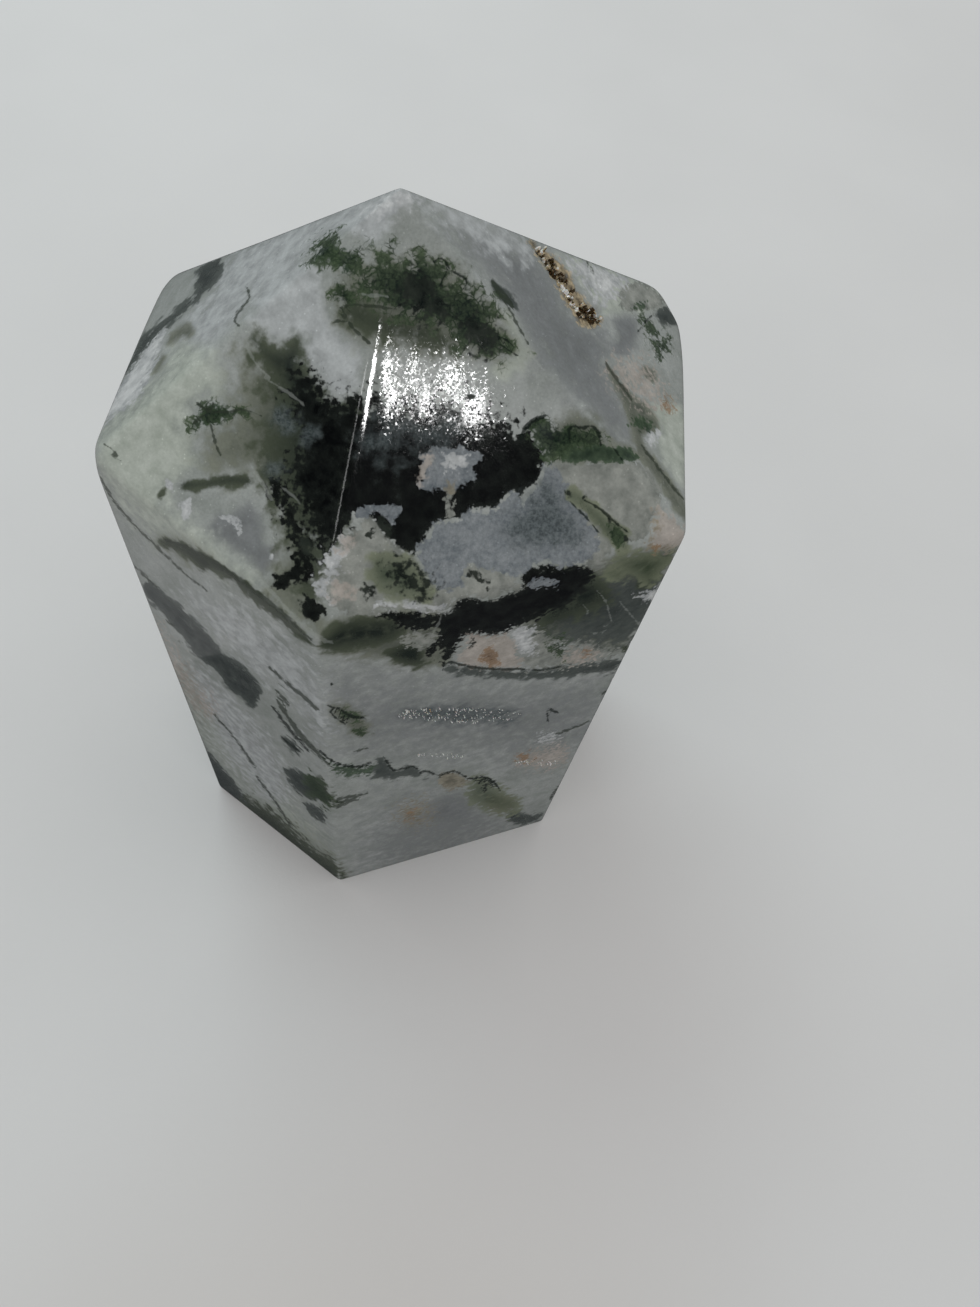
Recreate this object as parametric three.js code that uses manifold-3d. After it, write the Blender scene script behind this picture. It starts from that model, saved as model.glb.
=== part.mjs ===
// Moss agate tower, also called a point: one polished stone, cut as an uneven six-sided prism with a
// six-sided pointed top, standing on a flat base.
// Lengths are millimetres, +Z is up, and the origin is on the base plane, under the middle of the prism.

import * as THREE from 'three';
import { mergeVertices } from 'three/addons/utils/BufferGeometryUtils.js';
import Module from 'manifold-3d';

// The prism's six corners in plan, from the front corner round by the right.
const PLAN_CORNERS = [
  [-3.2, -23.2],
  [22.7, -12.4],
  [23.3, 13.5],
  [0.6, 22.6],
  [-21.1, 9.4],
  [-20.8, -12.2],
];

// Height of the shoulder at each of those corners, where the side faces end and the top facets begin.
const SHOULDER_HEIGHTS = [64.2, 67.0, 66.5, 64.2, 64.4, 67.1];

// The tip of the point before its rounding, which takes about 0.4 off it.
const APEX = [-0.5, 0.0, 83.2];

// How far the polish rounds every edge: twice this is about the width of the rounded strip.
const EDGE_SOFTNESS = 0.16;

// Worn and chipped shoulder corners, as small flat cuts. Each names its corner, the way the cut faces in
// plan in degrees from +X, how far it leans up in degrees, and how deep it goes below the sharp corner.
const CORNER_CUTS = [
  { corner: 2, facing: 6, lean: 12, depth: 0.85 },
  { corner: 2, facing: 33, lean: 22, depth: 2.2 },
  { corner: 2, facing: 66, lean: 22, depth: 1.75 },
  { corner: 4, facing: 150, lean: 18, depth: 0.85 },
  { corner: 4, facing: 175, lean: 12, depth: 0.35 },
  { corner: 5, facing: 205, lean: 15, depth: 0.45 },
];

// Rough troughs where the polish has opened a hollow lined with small crystals. Each runs along a line
// of points on the surface, with a half width at each point and a depth.
const TROUGHS = [
  {
    path: [
      [9.3, 4.8, 76.2],
      [10.2, 4.1, 75.6],
      [11.3, 3.4, 74.8],
      [12.0, 2.6, 74.3],
      [12.9, 1.9, 73.7],
      [13.8, 1.9, 73.1],
      [14.6, 3.0, 72.5],
    ],
    halfWidths: [0.35, 0.5, 0.5, 0.6, 0.75, 0.7, 0.4],
    depth: 0.6,
  },
  {
    path: [
      [5.5, -19.6, 45.8],
      [8.2, -18.5, 43.7],
      [11.1, -17.2, 41.7],
      [14.2, -16.0, 40.0],
    ],
    halfWidths: [0.25, 0.4, 0.4, 0.25],
    depth: 0.3,
  },
];
const PITS_PER_MILLIMETRE = 1.3;

// The point inside the stone that every surface point is seen from.
const HEART = new THREE.Vector3(0, 0, 38);

// How finely each stretch of the surface is divided, as shares of its length. The steps crowd at the edges.
const STEPS_ROUND_A_SIDE = [0, 0.01, 0.03, 0.08, 0.25, 0.5, 0.75, 0.92, 0.97, 0.99];
const STEPS_OUT_ON_THE_BASE = [0.5, 0.9, 0.975, 0.992, 1];
const STEPS_UP_A_SIDE = [0.004, 0.012, 0.03, 0.1, 0.35, 0.65, 0.85, 0.93, 0.97, 0.988, 0.996, 1];
const STEPS_UP_A_FACET = [0.01, 0.03, 0.08, 0.2, 0.45, 0.7, 0.85, 0.93, 0.97, 0.99];

const SEARCH_STEPS = 40;
const MERGE_DISTANCE = 1e-4;
const PIT_DETAIL = 1;
const STONE_COLOUR = '#8d968f';
const STONE_ROUGHNESS = 0.22;

const wasm = await Module();
wasm.setup();

const SIDES = PLAN_CORNERS.length;
const apex = new THREE.Vector3(...APEX);
const shoulder = PLAN_CORNERS.map(([x, y], k) => new THREE.Vector3(x, y, SHOULDER_HEIGHTS[k]));

// A plane through a point, with its normal turned away from the stone's heart.
function outwardPlane(normal, point) {
  const plane = new THREE.Plane().setFromNormalAndCoplanarPoint(normal.clone().normalize(), point);
  return plane.distanceToPoint(HEART) > 0 ? plane.negate() : plane;
}

// The flat cuts that bound the stone: its base, sides, top facets and worn corners.
function cuttingPlanes() {
  const planes = [outwardPlane(new THREE.Vector3(0, 0, -1), new THREE.Vector3())];
  shoulder.forEach((corner, k) => {
    const along = shoulder[(k + 1) % SIDES].clone().sub(corner);
    const towardsApex = apex.clone().sub(corner);
    planes.push(outwardPlane(new THREE.Vector3(along.y, -along.x, 0), corner));
    planes.push(outwardPlane(along.clone().cross(towardsApex), corner));
  });
  for (const cut of CORNER_CUTS) {
    const facing = THREE.MathUtils.degToRad(cut.facing);
    const lean = THREE.MathUtils.degToRad(cut.lean);
    const level = Math.cos(lean);
    const normal = new THREE.Vector3(level * Math.cos(facing), level * Math.sin(facing), Math.sin(lean));
    planes.push(outwardPlane(normal, shoulder[cut.corner].clone().addScaledVector(normal, -cut.depth)));
  }
  return planes;
}

const planes = cuttingPlanes();

// Height of a point above the stone's surface. It is the largest of its distances above the planes,
// blended softly so that two planes meet in a small round and not in a knife edge.
function heightAbove(point) {
  const heights = planes.map((plane) => plane.distanceToPoint(point));
  const largest = Math.max(...heights);
  const sum = heights.reduce((total, height) => total + Math.exp((height - largest) / EDGE_SOFTNESS), 0);
  return largest + EDGE_SOFTNESS * Math.log(sum);
}

// The surface point that the heart sees in the direction of a point of the sharp-edged shape.
function ontoSurface(sharpPoint) {
  const found = new THREE.Vector3();
  let inside = 0.5;
  let outside = 1.01;
  for (let step = 0; step < SEARCH_STEPS; step += 1) {
    const middle = (inside + outside) / 2;
    found.lerpVectors(HEART, sharpPoint, middle);
    if (heightAbove(found) > 0) {
      outside = middle;
    } else {
      inside = middle;
    }
  }
  return found;
}

// The shoulder point at a place round the prism, counted in sides from the front corner.
function shoulderAt(place) {
  const side = Math.floor(place);
  return new THREE.Vector3().lerpVectors(shoulder[side], shoulder[(side + 1) % SIDES], place - side);
}

// The rings of the sharp-edged shape, from the middle of the base outwards, up the sides and up to the tip.
function sharpRings() {
  const places = [];
  for (let side = 0; side < SIDES; side += 1) {
    places.push(...STEPS_ROUND_A_SIDE.map((step) => side + step));
  }
  const ridge = places.map(shoulderAt);
  const ring = (make) => ridge.map(make);
  return [
    ...STEPS_OUT_ON_THE_BASE.map((step) => ring((p) => new THREE.Vector3(p.x * step, p.y * step, 0))),
    ...STEPS_UP_A_SIDE.map((step) => ring((p) => new THREE.Vector3(p.x, p.y, p.z * step))),
    ...STEPS_UP_A_FACET.map((step) => ring((p) => p.clone().lerp(apex, step))),
  ];
}

// The polished stone before its troughs are opened: a closed net of rings between the base's middle and the tip.
function polishedGeometry() {
  const rings = sharpRings();
  const columns = rings[0].length;
  const points = [new THREE.Vector3(0, 0, 0), ...rings.flat().map(ontoSurface), ontoSurface(apex)];
  const tip = points.length - 1;
  const at = (ring, column) => 1 + ring * columns + (column % columns);
  const triangles = [];
  for (let column = 0; column < columns; column += 1) {
    triangles.push(0, at(0, column + 1), at(0, column));
    for (let ring = 0; ring < rings.length - 1; ring += 1) {
      triangles.push(at(ring, column), at(ring, column + 1), at(ring + 1, column + 1));
      triangles.push(at(ring, column), at(ring + 1, column + 1), at(ring + 1, column));
    }
    triangles.push(at(rings.length - 1, column), at(rings.length - 1, column + 1), tip);
  }
  const geometry = new THREE.BufferGeometry().setFromPoints(points);
  geometry.setIndex(triangles);
  return geometry;
}

// A repeatable uneven number between -1 and 1 for a whole number.
function uneven(number) {
  const wave = Math.sin(number * 12.9898) * 43758.5453;
  return 2 * (wave - Math.floor(wave)) - 1;
}

// The small lumps that are taken out of the stone along one trough, each turned its own way.
function troughPits(trough) {
  const line = new THREE.CatmullRomCurve3(trough.path.map((point) => new THREE.Vector3(...point)));
  const count = Math.ceil(line.getLength() * PITS_PER_MILLIMETRE);
  const last = trough.halfWidths.length - 1;
  return Array.from({ length: count + 1 }, (_, n) => {
    const share = n / count;
    const middle = line.getPointAt(share);
    const stretch = Math.min(Math.floor(share * last), last - 1);
    const between = share * last - stretch;
    const width = THREE.MathUtils.lerp(trough.halfWidths[stretch], trough.halfWidths[stretch + 1], between);
    const pit = new THREE.IcosahedronGeometry(1, PIT_DETAIL);
    pit.rotateX(uneven(n + 1) * Math.PI);
    pit.rotateY(uneven(n + 31) * Math.PI);
    pit.scale(width * (1 + 0.25 * uneven(n + 61)), width, trough.depth * (1 + 0.3 * uneven(n + 91)));
    const outward = planes.reduce((best, plane) =>
      (plane.distanceToPoint(middle) > best.distanceToPoint(middle) ? plane : best)).normal;
    pit.applyQuaternion(new THREE.Quaternion().setFromUnitVectors(new THREE.Vector3(0, 0, 1), outward));
    pit.translate(middle.x, middle.y, middle.z);
    return pit;
  });
}

// A closed geometry as a solid that can be cut.
function toSolid(geometry) {
  const bare = geometry.clone();
  bare.deleteAttribute('normal');
  bare.deleteAttribute('uv');
  const merged = mergeVertices(bare, MERGE_DISTANCE);
  return new wasm.Manifold(new wasm.Mesh({
    numProp: 3,
    vertProperties: new Float32Array(merged.attributes.position.array),
    triVerts: new Uint32Array(merged.index.array),
  }));
}

// A solid as a geometry again.
function toGeometry(solid) {
  const mesh = solid.getMesh();
  const geometry = new THREE.BufferGeometry();
  geometry.setAttribute('position', new THREE.BufferAttribute(new Float32Array(mesh.vertProperties), 3));
  geometry.setIndex(new THREE.BufferAttribute(new Uint32Array(mesh.triVerts), 1));
  geometry.computeVertexNormals();
  return geometry;
}

// The whole stone: the polished shape with its rough troughs opened.
function towerGeometry() {
  const pits = TROUGHS.flatMap(troughPits).map(toSolid);
  const opened = pits.reduce((stone, pit) => stone.subtract(pit), toSolid(polishedGeometry()));
  return toGeometry(opened);
}

const stoneMaterial = new THREE.MeshStandardMaterial({
  color: STONE_COLOUR,
  roughness: STONE_ROUGHNESS,
  metalness: 0,
});

const stone = new THREE.Mesh(towerGeometry(), stoneMaterial);
stone.name = 'moss_agate_tower';

const tower = new THREE.Group();
tower.add(stone);

export default tower;
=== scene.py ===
import math
from collections import namedtuple

import bpy
import numpy as np
from bpy.props import FloatProperty, FloatVectorProperty, IntProperty, PointerProperty
from mathutils import Matrix, Vector


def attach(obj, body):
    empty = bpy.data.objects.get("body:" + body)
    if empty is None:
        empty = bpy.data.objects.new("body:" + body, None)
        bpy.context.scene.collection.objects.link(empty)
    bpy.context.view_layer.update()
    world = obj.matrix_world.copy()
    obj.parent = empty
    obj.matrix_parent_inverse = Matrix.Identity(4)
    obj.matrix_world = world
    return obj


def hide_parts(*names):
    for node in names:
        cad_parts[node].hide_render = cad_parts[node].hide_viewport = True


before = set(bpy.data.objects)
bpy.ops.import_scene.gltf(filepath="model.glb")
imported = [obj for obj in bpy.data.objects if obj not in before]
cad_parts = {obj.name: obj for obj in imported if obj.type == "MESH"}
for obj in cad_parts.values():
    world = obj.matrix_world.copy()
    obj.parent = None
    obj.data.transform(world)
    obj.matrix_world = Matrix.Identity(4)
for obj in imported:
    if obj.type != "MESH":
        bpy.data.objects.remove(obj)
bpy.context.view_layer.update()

bl_info = {
    "name": "Moss Agate Tower",
    "version": (1, 0, 0),
    "blender": (4, 5, 0),
    "location": "View3D > Sidebar > Agate Tower",
    "description": "Builds a polished moss agate tower with its mineral markings and crystal-lined seam",
    "category": "Add Mesh",
}

NODE = "moss_agate_tower"
BODY = "root"
MM = 0.001
TINY = 1e-9

# Shape of the stone in millimetres: an uneven six-sided prism with a six-sided pointed top.
PLAN_CORNERS = np.array([
    (-3.2, -23.2), (22.7, -12.4), (23.3, 13.5), (0.6, 22.6), (-21.1, 9.4), (-20.8, -12.2)])
SHOULDER_HEIGHTS = np.array([64.2, 67.0, 66.5, 64.2, 64.4, 67.1])
APEX = np.array([-0.5, 0.0, 82.9])

# How far the polish rounds every edge, and how much less it does so between two heights near the tip. The
# heart is the point inside that every surface point is seen from.
EDGE_SOFTNESS = 0.16
TIP_HEIGHTS = (74.0, 82.0)
TIP_SHARPNESS = 0.3
HEART = np.array([0.0, 0.0, 38.0])

CornerCut = namedtuple("CornerCut", "corner facing lean depth")
CORNER_CUTS = (
    CornerCut(2, 6, 12, 0.85),
    CornerCut(2, 33, 22, 2.2),
    CornerCut(2, 66, 22, 1.75),
    CornerCut(4, 150, 18, 0.85),
    CornerCut(4, 175, 12, 0.35),
    CornerCut(5, 205, 15, 0.45),
)

# Rough troughs lined with crystals, in millimetres: points on the surface, half widths there, depth, number
# and size of the crystals, and how much iron stains them at each point.
Trough = namedtuple("Trough", "name path half_widths depth crystals crystal_size iron")
TROUGHS = (
    Trough(
        "golden seam",
        [(9.3, 4.8, 76.2), (10.2, 4.1, 75.6), (11.3, 3.4, 74.8), (12.0, 2.6, 74.3),
         (12.9, 1.9, 73.7), (13.8, 1.9, 73.1), (14.6, 3.0, 72.5)],
        (0.35, 0.5, 0.5, 0.6, 0.75, 0.7, 0.4), 0.55, 300, 0.2, (0.5, 1.2, 1.0, 0.1, 1.1, 1.25, 0.9),
    ),
    Trough(
        "druse row",
        [(3.1, -20.6, 47.9), (5.5, -19.6, 46.0), (9.2, -18.1, 43.5), (11.1, -17.2, 42.0),
         (14.0, -16.0, 40.1)],
        (0.6, 1.3, 1.6, 1.3, 0.6), 0.06, 170, 0.09, (-1.0,) * 5,
    ),
    Trough(
        "specks below the crystal row",
        [(4.8, -19.9, 37.0), (7.5, -18.7, 34.9), (9.3, -18.0, 33.1)],
        (0.3, 0.5, 0.3), 0.04, 36, 0.09, (-1.0,) * 3,
    ),
    Trough(
        "specks in the tan patch",
        [(15.6, -15.4, 27.0), (18.4, -14.2, 25.0), (21.0, -13.1, 22.8)],
        (0.4, 0.8, 0.4), 0.04, 40, 0.1, (-0.6, -0.2, -0.6),
    ),
)

# Small round pits and chips: place in photo pixels, radius and depth in millimetres.
Dent = namedtuple("Dent", "name place radius depth")
DENTS = (
    Dent("chip on the left outline", (267, 242), 0.35, 0.14),
    Dent("nick on the right outline", (630, 645), 0.5, 0.22),
    Dent("lower nick on the right outline", (612, 682), 0.4, 0.12),
)

# How finely the surface is divided, in millimetres from an edge and in even steps between.
EDGE_STEPS = np.array([0.0, 0.1, 0.2, 0.35, 0.6])
COLUMNS_SEEN = 86
COLUMNS_TURNED = 64
COLUMNS_BEHIND = 40
COLUMNS = (COLUMNS_SEEN, COLUMNS_TURNED, COLUMNS_BEHIND, COLUMNS_BEHIND, COLUMNS_TURNED, COLUMNS_SEEN)
ROWS_UP_A_SIDE = 100
ROWS_UP_A_FACET = 96
ROWS_ON_THE_BASE = np.array([0.25, 0.5, 0.75, 0.9, 0.96, 0.985, 0.993])
SEARCH_STEPS = 30
SEARCH_SPAN = (0.5, 1.01)

# The camera of the photograph: place in millimetres, angles in degrees, focal length in pixels.
PHOTO_SIZE = (980, 1307)
PHOTO_MIDDLE = np.array([490.0, 653.5])
PHOTO_FOCAL = 950.0
CAMERA_PLACE = np.array([4.705, -54.881, 122.659])
CAMERA_AZIMUTH = -7.673
CAMERA_ELEVATION = 61.014
CAMERA_ROLL = -13.329


def camera_axes():
    """Right, down and forward of the camera, from its azimuth, elevation and roll."""
    azimuth, elevation, roll = np.radians([CAMERA_AZIMUTH, CAMERA_ELEVATION, CAMERA_ROLL])
    forward = np.array([
        -math.sin(azimuth) * math.cos(elevation),
        math.cos(azimuth) * math.cos(elevation),
        -math.sin(elevation),
    ])
    level = np.array([math.cos(azimuth), math.sin(azimuth), 0.0])
    below = np.cross(forward, level)
    right = math.cos(roll) * level + math.sin(roll) * below
    down = -math.sin(roll) * level + math.cos(roll) * below
    return right, down, forward


RIGHT, DOWN, FORWARD = camera_axes()

# Mineral areas traced as outlines in photo pixels, under the mineral that fills them. Blur is how many pixels
# wide the edge is.
# A few of these areas are wholly or partly painted shade, highlight or sheen; each says so where it stands.
Patch = namedtuple("Patch", "name blur outline")
PATCHES = {}
PATCHES["lilac"] = (
    Patch("grey of the right facet", 12, [(440, 222), (470, 226), (500, 232), (530, 246), (545, 262),
        (560, 290), (575, 318), (600, 326), (612, 345), (606, 362), (615, 385), (625, 405), (632, 430),
        (628, 445), (605, 442), (600, 425), (585, 408), (560, 385), (540, 358), (515, 320), (495, 290),
        (485, 270), (460, 245)]),
    Patch("smoky stretch round the druse row", 8, [(385, 712), (400, 703), (430, 700), (470, 700),
        (510, 700), (530, 712), (520, 726), (490, 728), (450, 726), (410, 726), (388, 724)]),
    Patch("blue of the crystalline triangle", 5, [(205, 530), (215, 515), (235, 512), (255, 500),
        (262, 520), (265, 545), (280, 548), (275, 562), (262, 580), (250, 562), (232, 550), (215, 540)]),
    Patch("slate patch low on the front right side", 8, [(430, 800), (445, 790), (465, 790), (478, 805),
        (476, 822), (455, 832), (430, 828), (405, 830), (410, 815)]),
    Patch("bluish body of the front side", 34, [(345, 680), (430, 692), (520, 694), (600, 690), (592, 730),
        (540, 750), (440, 746), (350, 742), (332, 710)]),
    Patch("grey cells under the worn corner", 4, [(612, 318), (632, 315), (641, 330), (636, 346),
        (622, 360), (609, 353), (616, 336)]),
    Patch("grey foot of the front side", 34, [(400, 806), (440, 800), (490, 806), (500, 836), (440, 856),
        (380, 872), (374, 840)]),
)
PATCHES["sage"] = (
    Patch("pale green left shoulder", 10, [(100, 432), (125, 410), (150, 385), (160, 378), (175, 345),
        (200, 345), (220, 365), (222, 395), (200, 395), (180, 420), (190, 440), (200, 465), (180, 478),
        (165, 490), (165, 510), (190, 525), (215, 545), (250, 570), (262, 590), (230, 575), (190, 550),
        (160, 540), (130, 515), (110, 490), (95, 470), (92, 455)]),
    Patch("pale facet past the seam", 4, [(556, 250), (600, 262), (640, 276), (668, 292), (670, 305),
        (640, 312), (612, 312), (603, 316), (597, 300), (590, 290), (575, 275), (565, 262)]),
    Patch("pale green under the blade", 5, [(500, 305), (515, 318), (525, 340), (530, 355), (520, 370),
        (505, 385), (480, 368), (520, 352), (510, 335), (500, 318)]),
    Patch("strip down the right outline", 5, [(640, 405), (690, 400), (692, 492), (672, 475), (660, 455),
        (655, 435), (660, 430)]),
    Patch("pale foot of the left side", 12, [(176, 664), (196, 690), (222, 716), (248, 744), (276, 790),
        (310, 828), (334, 858), (300, 842), (262, 806), (226, 768), (200, 730)]),
)
PATCHES["frost"] = (
    Patch("white of the upper left facets", 6, [(400, 182), (330, 208), (240, 244), (224, 258), (216, 288),
        (200, 305), (175, 330), (200, 345), (226, 335), (236, 318), (246, 300), (244, 286), (254, 292),
        (252, 308), (244, 322), (262, 332), (274, 344), (287, 340), (298, 328), (307, 338), (305, 360),
        (318, 378), (334, 400), (352, 398), (366, 345), (345, 335), (330, 320), (326, 300), (320, 285),
        (318, 268), (300, 262), (318, 240), (345, 232), (365, 238), (378, 240), (386, 230), (398, 214),
        (412, 202)]),
    Patch("lilac cleft beside the moss", 2.5, [(472, 268), (480, 277), (490, 291), (501, 305), (506, 316),
        (498, 308), (486, 297), (477, 285)]),
    Patch("pale foot of the left side", 8, [(188, 660), (215, 684), (240, 708), (262, 735), (280, 762),
        (290, 800), (270, 806), (248, 785), (228, 756), (208, 722)]),
    Patch("pale sheet on the left side", 12, [(180, 590), (215, 600), (260, 625), (310, 665), (325, 700),
        (330, 740), (310, 720), (290, 690), (255, 665), (225, 640), (195, 610)]),
    Patch("pale streak right of the tip", 10, [(414, 196), (450, 204), (500, 226), (534, 250), (522, 262),
        (480, 244), (436, 220)]),
)
PATCHES["haze"] = (
    Patch("olive halo of the moss cloud", 10, [(335, 285), (345, 262), (372, 258), (400, 256), (430, 255),
        (452, 262), (470, 280), (492, 298), (505, 320), (522, 350), (510, 362), (480, 364), (450, 358),
        (420, 348), (385, 344), (362, 348), (342, 332), (330, 305)]),
    Patch("fade of the left olive body", 14, [(238, 330), (300, 370), (330, 450), (320, 540), (285, 520),
        (258, 478), (205, 472), (200, 440), (226, 420), (234, 390), (240, 360)]),
    Patch("fade right of the crystalline triangle", 9, [(262, 480), (290, 500), (312, 560), (320, 610),
        (290, 615), (262, 592), (272, 570), (285, 550), (272, 510)]),
    Patch("shade under the left cluster", 7, [(262, 590), (290, 585), (320, 600), (330, 640), (310, 632),
        (285, 612)]),
    Patch("green spots beside the white sliver", 2.5, [(163, 345), (168, 337), (176, 329), (185, 321),
        (192, 324), (196, 331), (190, 340), (183, 337), (174, 343)]),
    Patch("lower green spot beside the white sliver", 2.5, [(152, 373), (158, 360), (163, 353), (167, 357),
        (163, 366), (156, 374)]),
    Patch("olive round the right corner cells", 6, [(545, 446), (548, 425), (565, 412), (590, 412),
        (604, 424), (606, 444), (640, 446), (642, 461), (575, 466), (556, 462)]),
    Patch("eye ring on the right facet", 2, [(638, 368), (644, 364), (652, 367), (658, 374), (656, 383),
        (649, 383), (642, 376)]),
    Patch("green grey of the front right side", 6, [(545, 566), (590, 564), (612, 556), (650, 545),
        (690, 535), (655, 600), (630, 652), (600, 652), (570, 640), (545, 645), (520, 628), (530, 600),
        (555, 585)]),
    Patch("mottled olive under the front corner", 4, [(314, 644), (330, 618), (355, 612), (380, 610),
        (420, 608), (446, 613), (452, 640), (446, 668), (410, 668), (385, 661), (350, 657), (322, 653)]),
    Patch("green foot of the left side", 6, [(222, 792), (250, 800), (285, 820), (320, 848), (345, 866),
        (345, 884), (310, 866), (260, 830)]),
    Patch("green oval by the front edge", 4, [(326, 707), (336, 702), (346, 704), (354, 711), (366, 716),
        (370, 728), (366, 737), (352, 735), (342, 724), (332, 717)]),
    Patch("shade below the left shoulder", 6, [(155, 536), (175, 536), (196, 548), (215, 560), (204, 572),
        (180, 556), (160, 548)]),
    Patch("green streak crossing the right facet", 2, [(605, 361), (609, 363), (616, 374), (624, 384),
        (634, 397), (642, 399), (652, 408), (659, 420), (661, 431), (655, 434), (647, 434), (643, 438),
        (647, 448), (657, 460), (668, 474), (677, 488), (690, 505), (690, 528), (678, 516), (668, 502),
        (660, 486), (650, 473), (642, 462), (636, 458), (634, 440), (630, 424), (624, 408), (612, 384)]),
)
PATCHES["plate"] = (
    Patch("green fan on the worn corner", 2.5, [(616, 298), (622, 286), (630, 282), (640, 280), (650, 284),
        (662, 292), (667, 304), (655, 310), (640, 312), (625, 311)]),
    Patch("pale plate left of the front corner", 2.5, [(336, 540), (345, 533), (360, 532), (362, 520),
        (368, 517), (374, 518), (380, 530), (388, 540), (397, 548), (412, 557), (420, 567), (426, 577),
        (430, 586), (438, 592), (444, 600), (452, 602), (450, 612), (426, 613), (418, 608), (400, 608),
        (380, 612), (366, 616), (350, 613), (334, 606), (320, 598), (314, 590), (317, 578), (323, 568),
        (326, 558), (331, 548)]),
    Patch("pale plate of the right corner", 2.5, [(543, 462), (560, 464), (600, 464), (640, 461),
        (650, 470), (658, 482), (664, 491), (658, 505), (652, 520), (650, 538), (640, 538), (628, 540),
        (612, 545), (606, 560), (598, 572), (592, 566), (585, 565), (578, 540), (560, 500)]),
    Patch("sage foot of the grain plate", 3, [(425, 580), (450, 560), (470, 560), (500, 570), (520, 578),
        (520, 586), (530, 587), (519, 590), (508, 592), (500, 594), (498, 599), (486, 599), (467, 596),
        (454, 602), (452, 611), (440, 610), (432, 595)]),
    Patch("stem of the white island", 2, [(446, 486), (454, 488), (452, 503), (454, 520), (446, 520),
        (446, 503)]),
    Patch("pale wisp under the front corner", 3, [(398, 640), (408, 635), (422, 632), (441, 637),
        (432, 642), (420, 652), (414, 645), (404, 644)]),
    Patch("pinkish grey right of the cream patch", 4, [(528, 626), (540, 632), (556, 650), (580, 646),
        (600, 648), (625, 652), (600, 660), (575, 665), (560, 668), (540, 669), (520, 668), (528, 645)]),
)
PATCHES["milk"] = (
    Patch("pale sheet past the seam", 6, [(560, 256), (600, 265), (634, 276), (622, 284), (614, 298),
        (604, 308), (594, 296), (582, 280), (570, 268)]),
    # Partly painted sheen: the tip is a pale mineral, and this patch is drawn crisp so that it comes out
    # brighter, standing for the sheen of the steep facets near the tip.
    Patch("white tip", 7, [(400, 180), (375, 196), (352, 214), (376, 226), (396, 216), (412, 202),
        (428, 200)]),
    Patch("white sliver on the left", 1.8, [(166, 325), (163, 340), (160, 352), (153, 370), (145, 387),
        (136, 402), (120, 412), (106, 420), (96, 438), (108, 400), (120, 384), (130, 371), (143, 353),
        (153, 340)]),
    Patch("bright heart of the island", 4, [(438, 456), (460, 452), (470, 460), (462, 470), (446, 468)]),
    Patch("white margin of the left plate", 5, [(336, 541), (345, 536), (352, 540), (344, 556), (336, 574),
        (330, 590), (336, 602), (322, 597), (316, 590), (318, 578), (324, 568), (327, 558), (331, 549)]),
    Patch("white lower strip of the left plate", 3, [(372, 604), (400, 598), (430, 603), (450, 604),
        (449, 611), (425, 611), (400, 606), (380, 609)]),
    Patch("white blob by the hook", 2, [(166, 481), (173, 480), (174, 490), (168, 491)]),
    Patch("crystal fleck in the triangle", 2, [(180, 504), (186, 498), (192, 500), (192, 508), (189, 516),
        (184, 522), (180, 514)]),
    Patch("second crystal fleck in the triangle", 2, [(217, 514), (226, 516), (236, 516), (240, 524),
        (243, 532), (239, 535), (234, 526), (226, 521)]),
    Patch("third crystal fleck in the triangle", 1.5, [(268, 559), (272, 553), (274, 555), (271, 560)]),
    Patch("white wedge on the right outline", 2, [(629, 592), (638, 594), (646, 594), (655, 588),
        (666, 584), (658, 600), (648, 602), (640, 599)]),
    Patch("bluish half of the cream patch", 3, [(508, 634), (516, 629), (527, 626), (534, 627), (531, 636),
        (533, 645), (538, 652), (528, 656), (518, 650)]),
    Patch("notch beside the green streak", 2.5, [(645, 438), (650, 430), (662, 430), (660, 440),
        (652, 448)]),
    Patch("white wisp low on the front right side", 4, [(537, 738), (546, 733), (558, 733), (556, 741),
        (542, 743)]),
)
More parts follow.
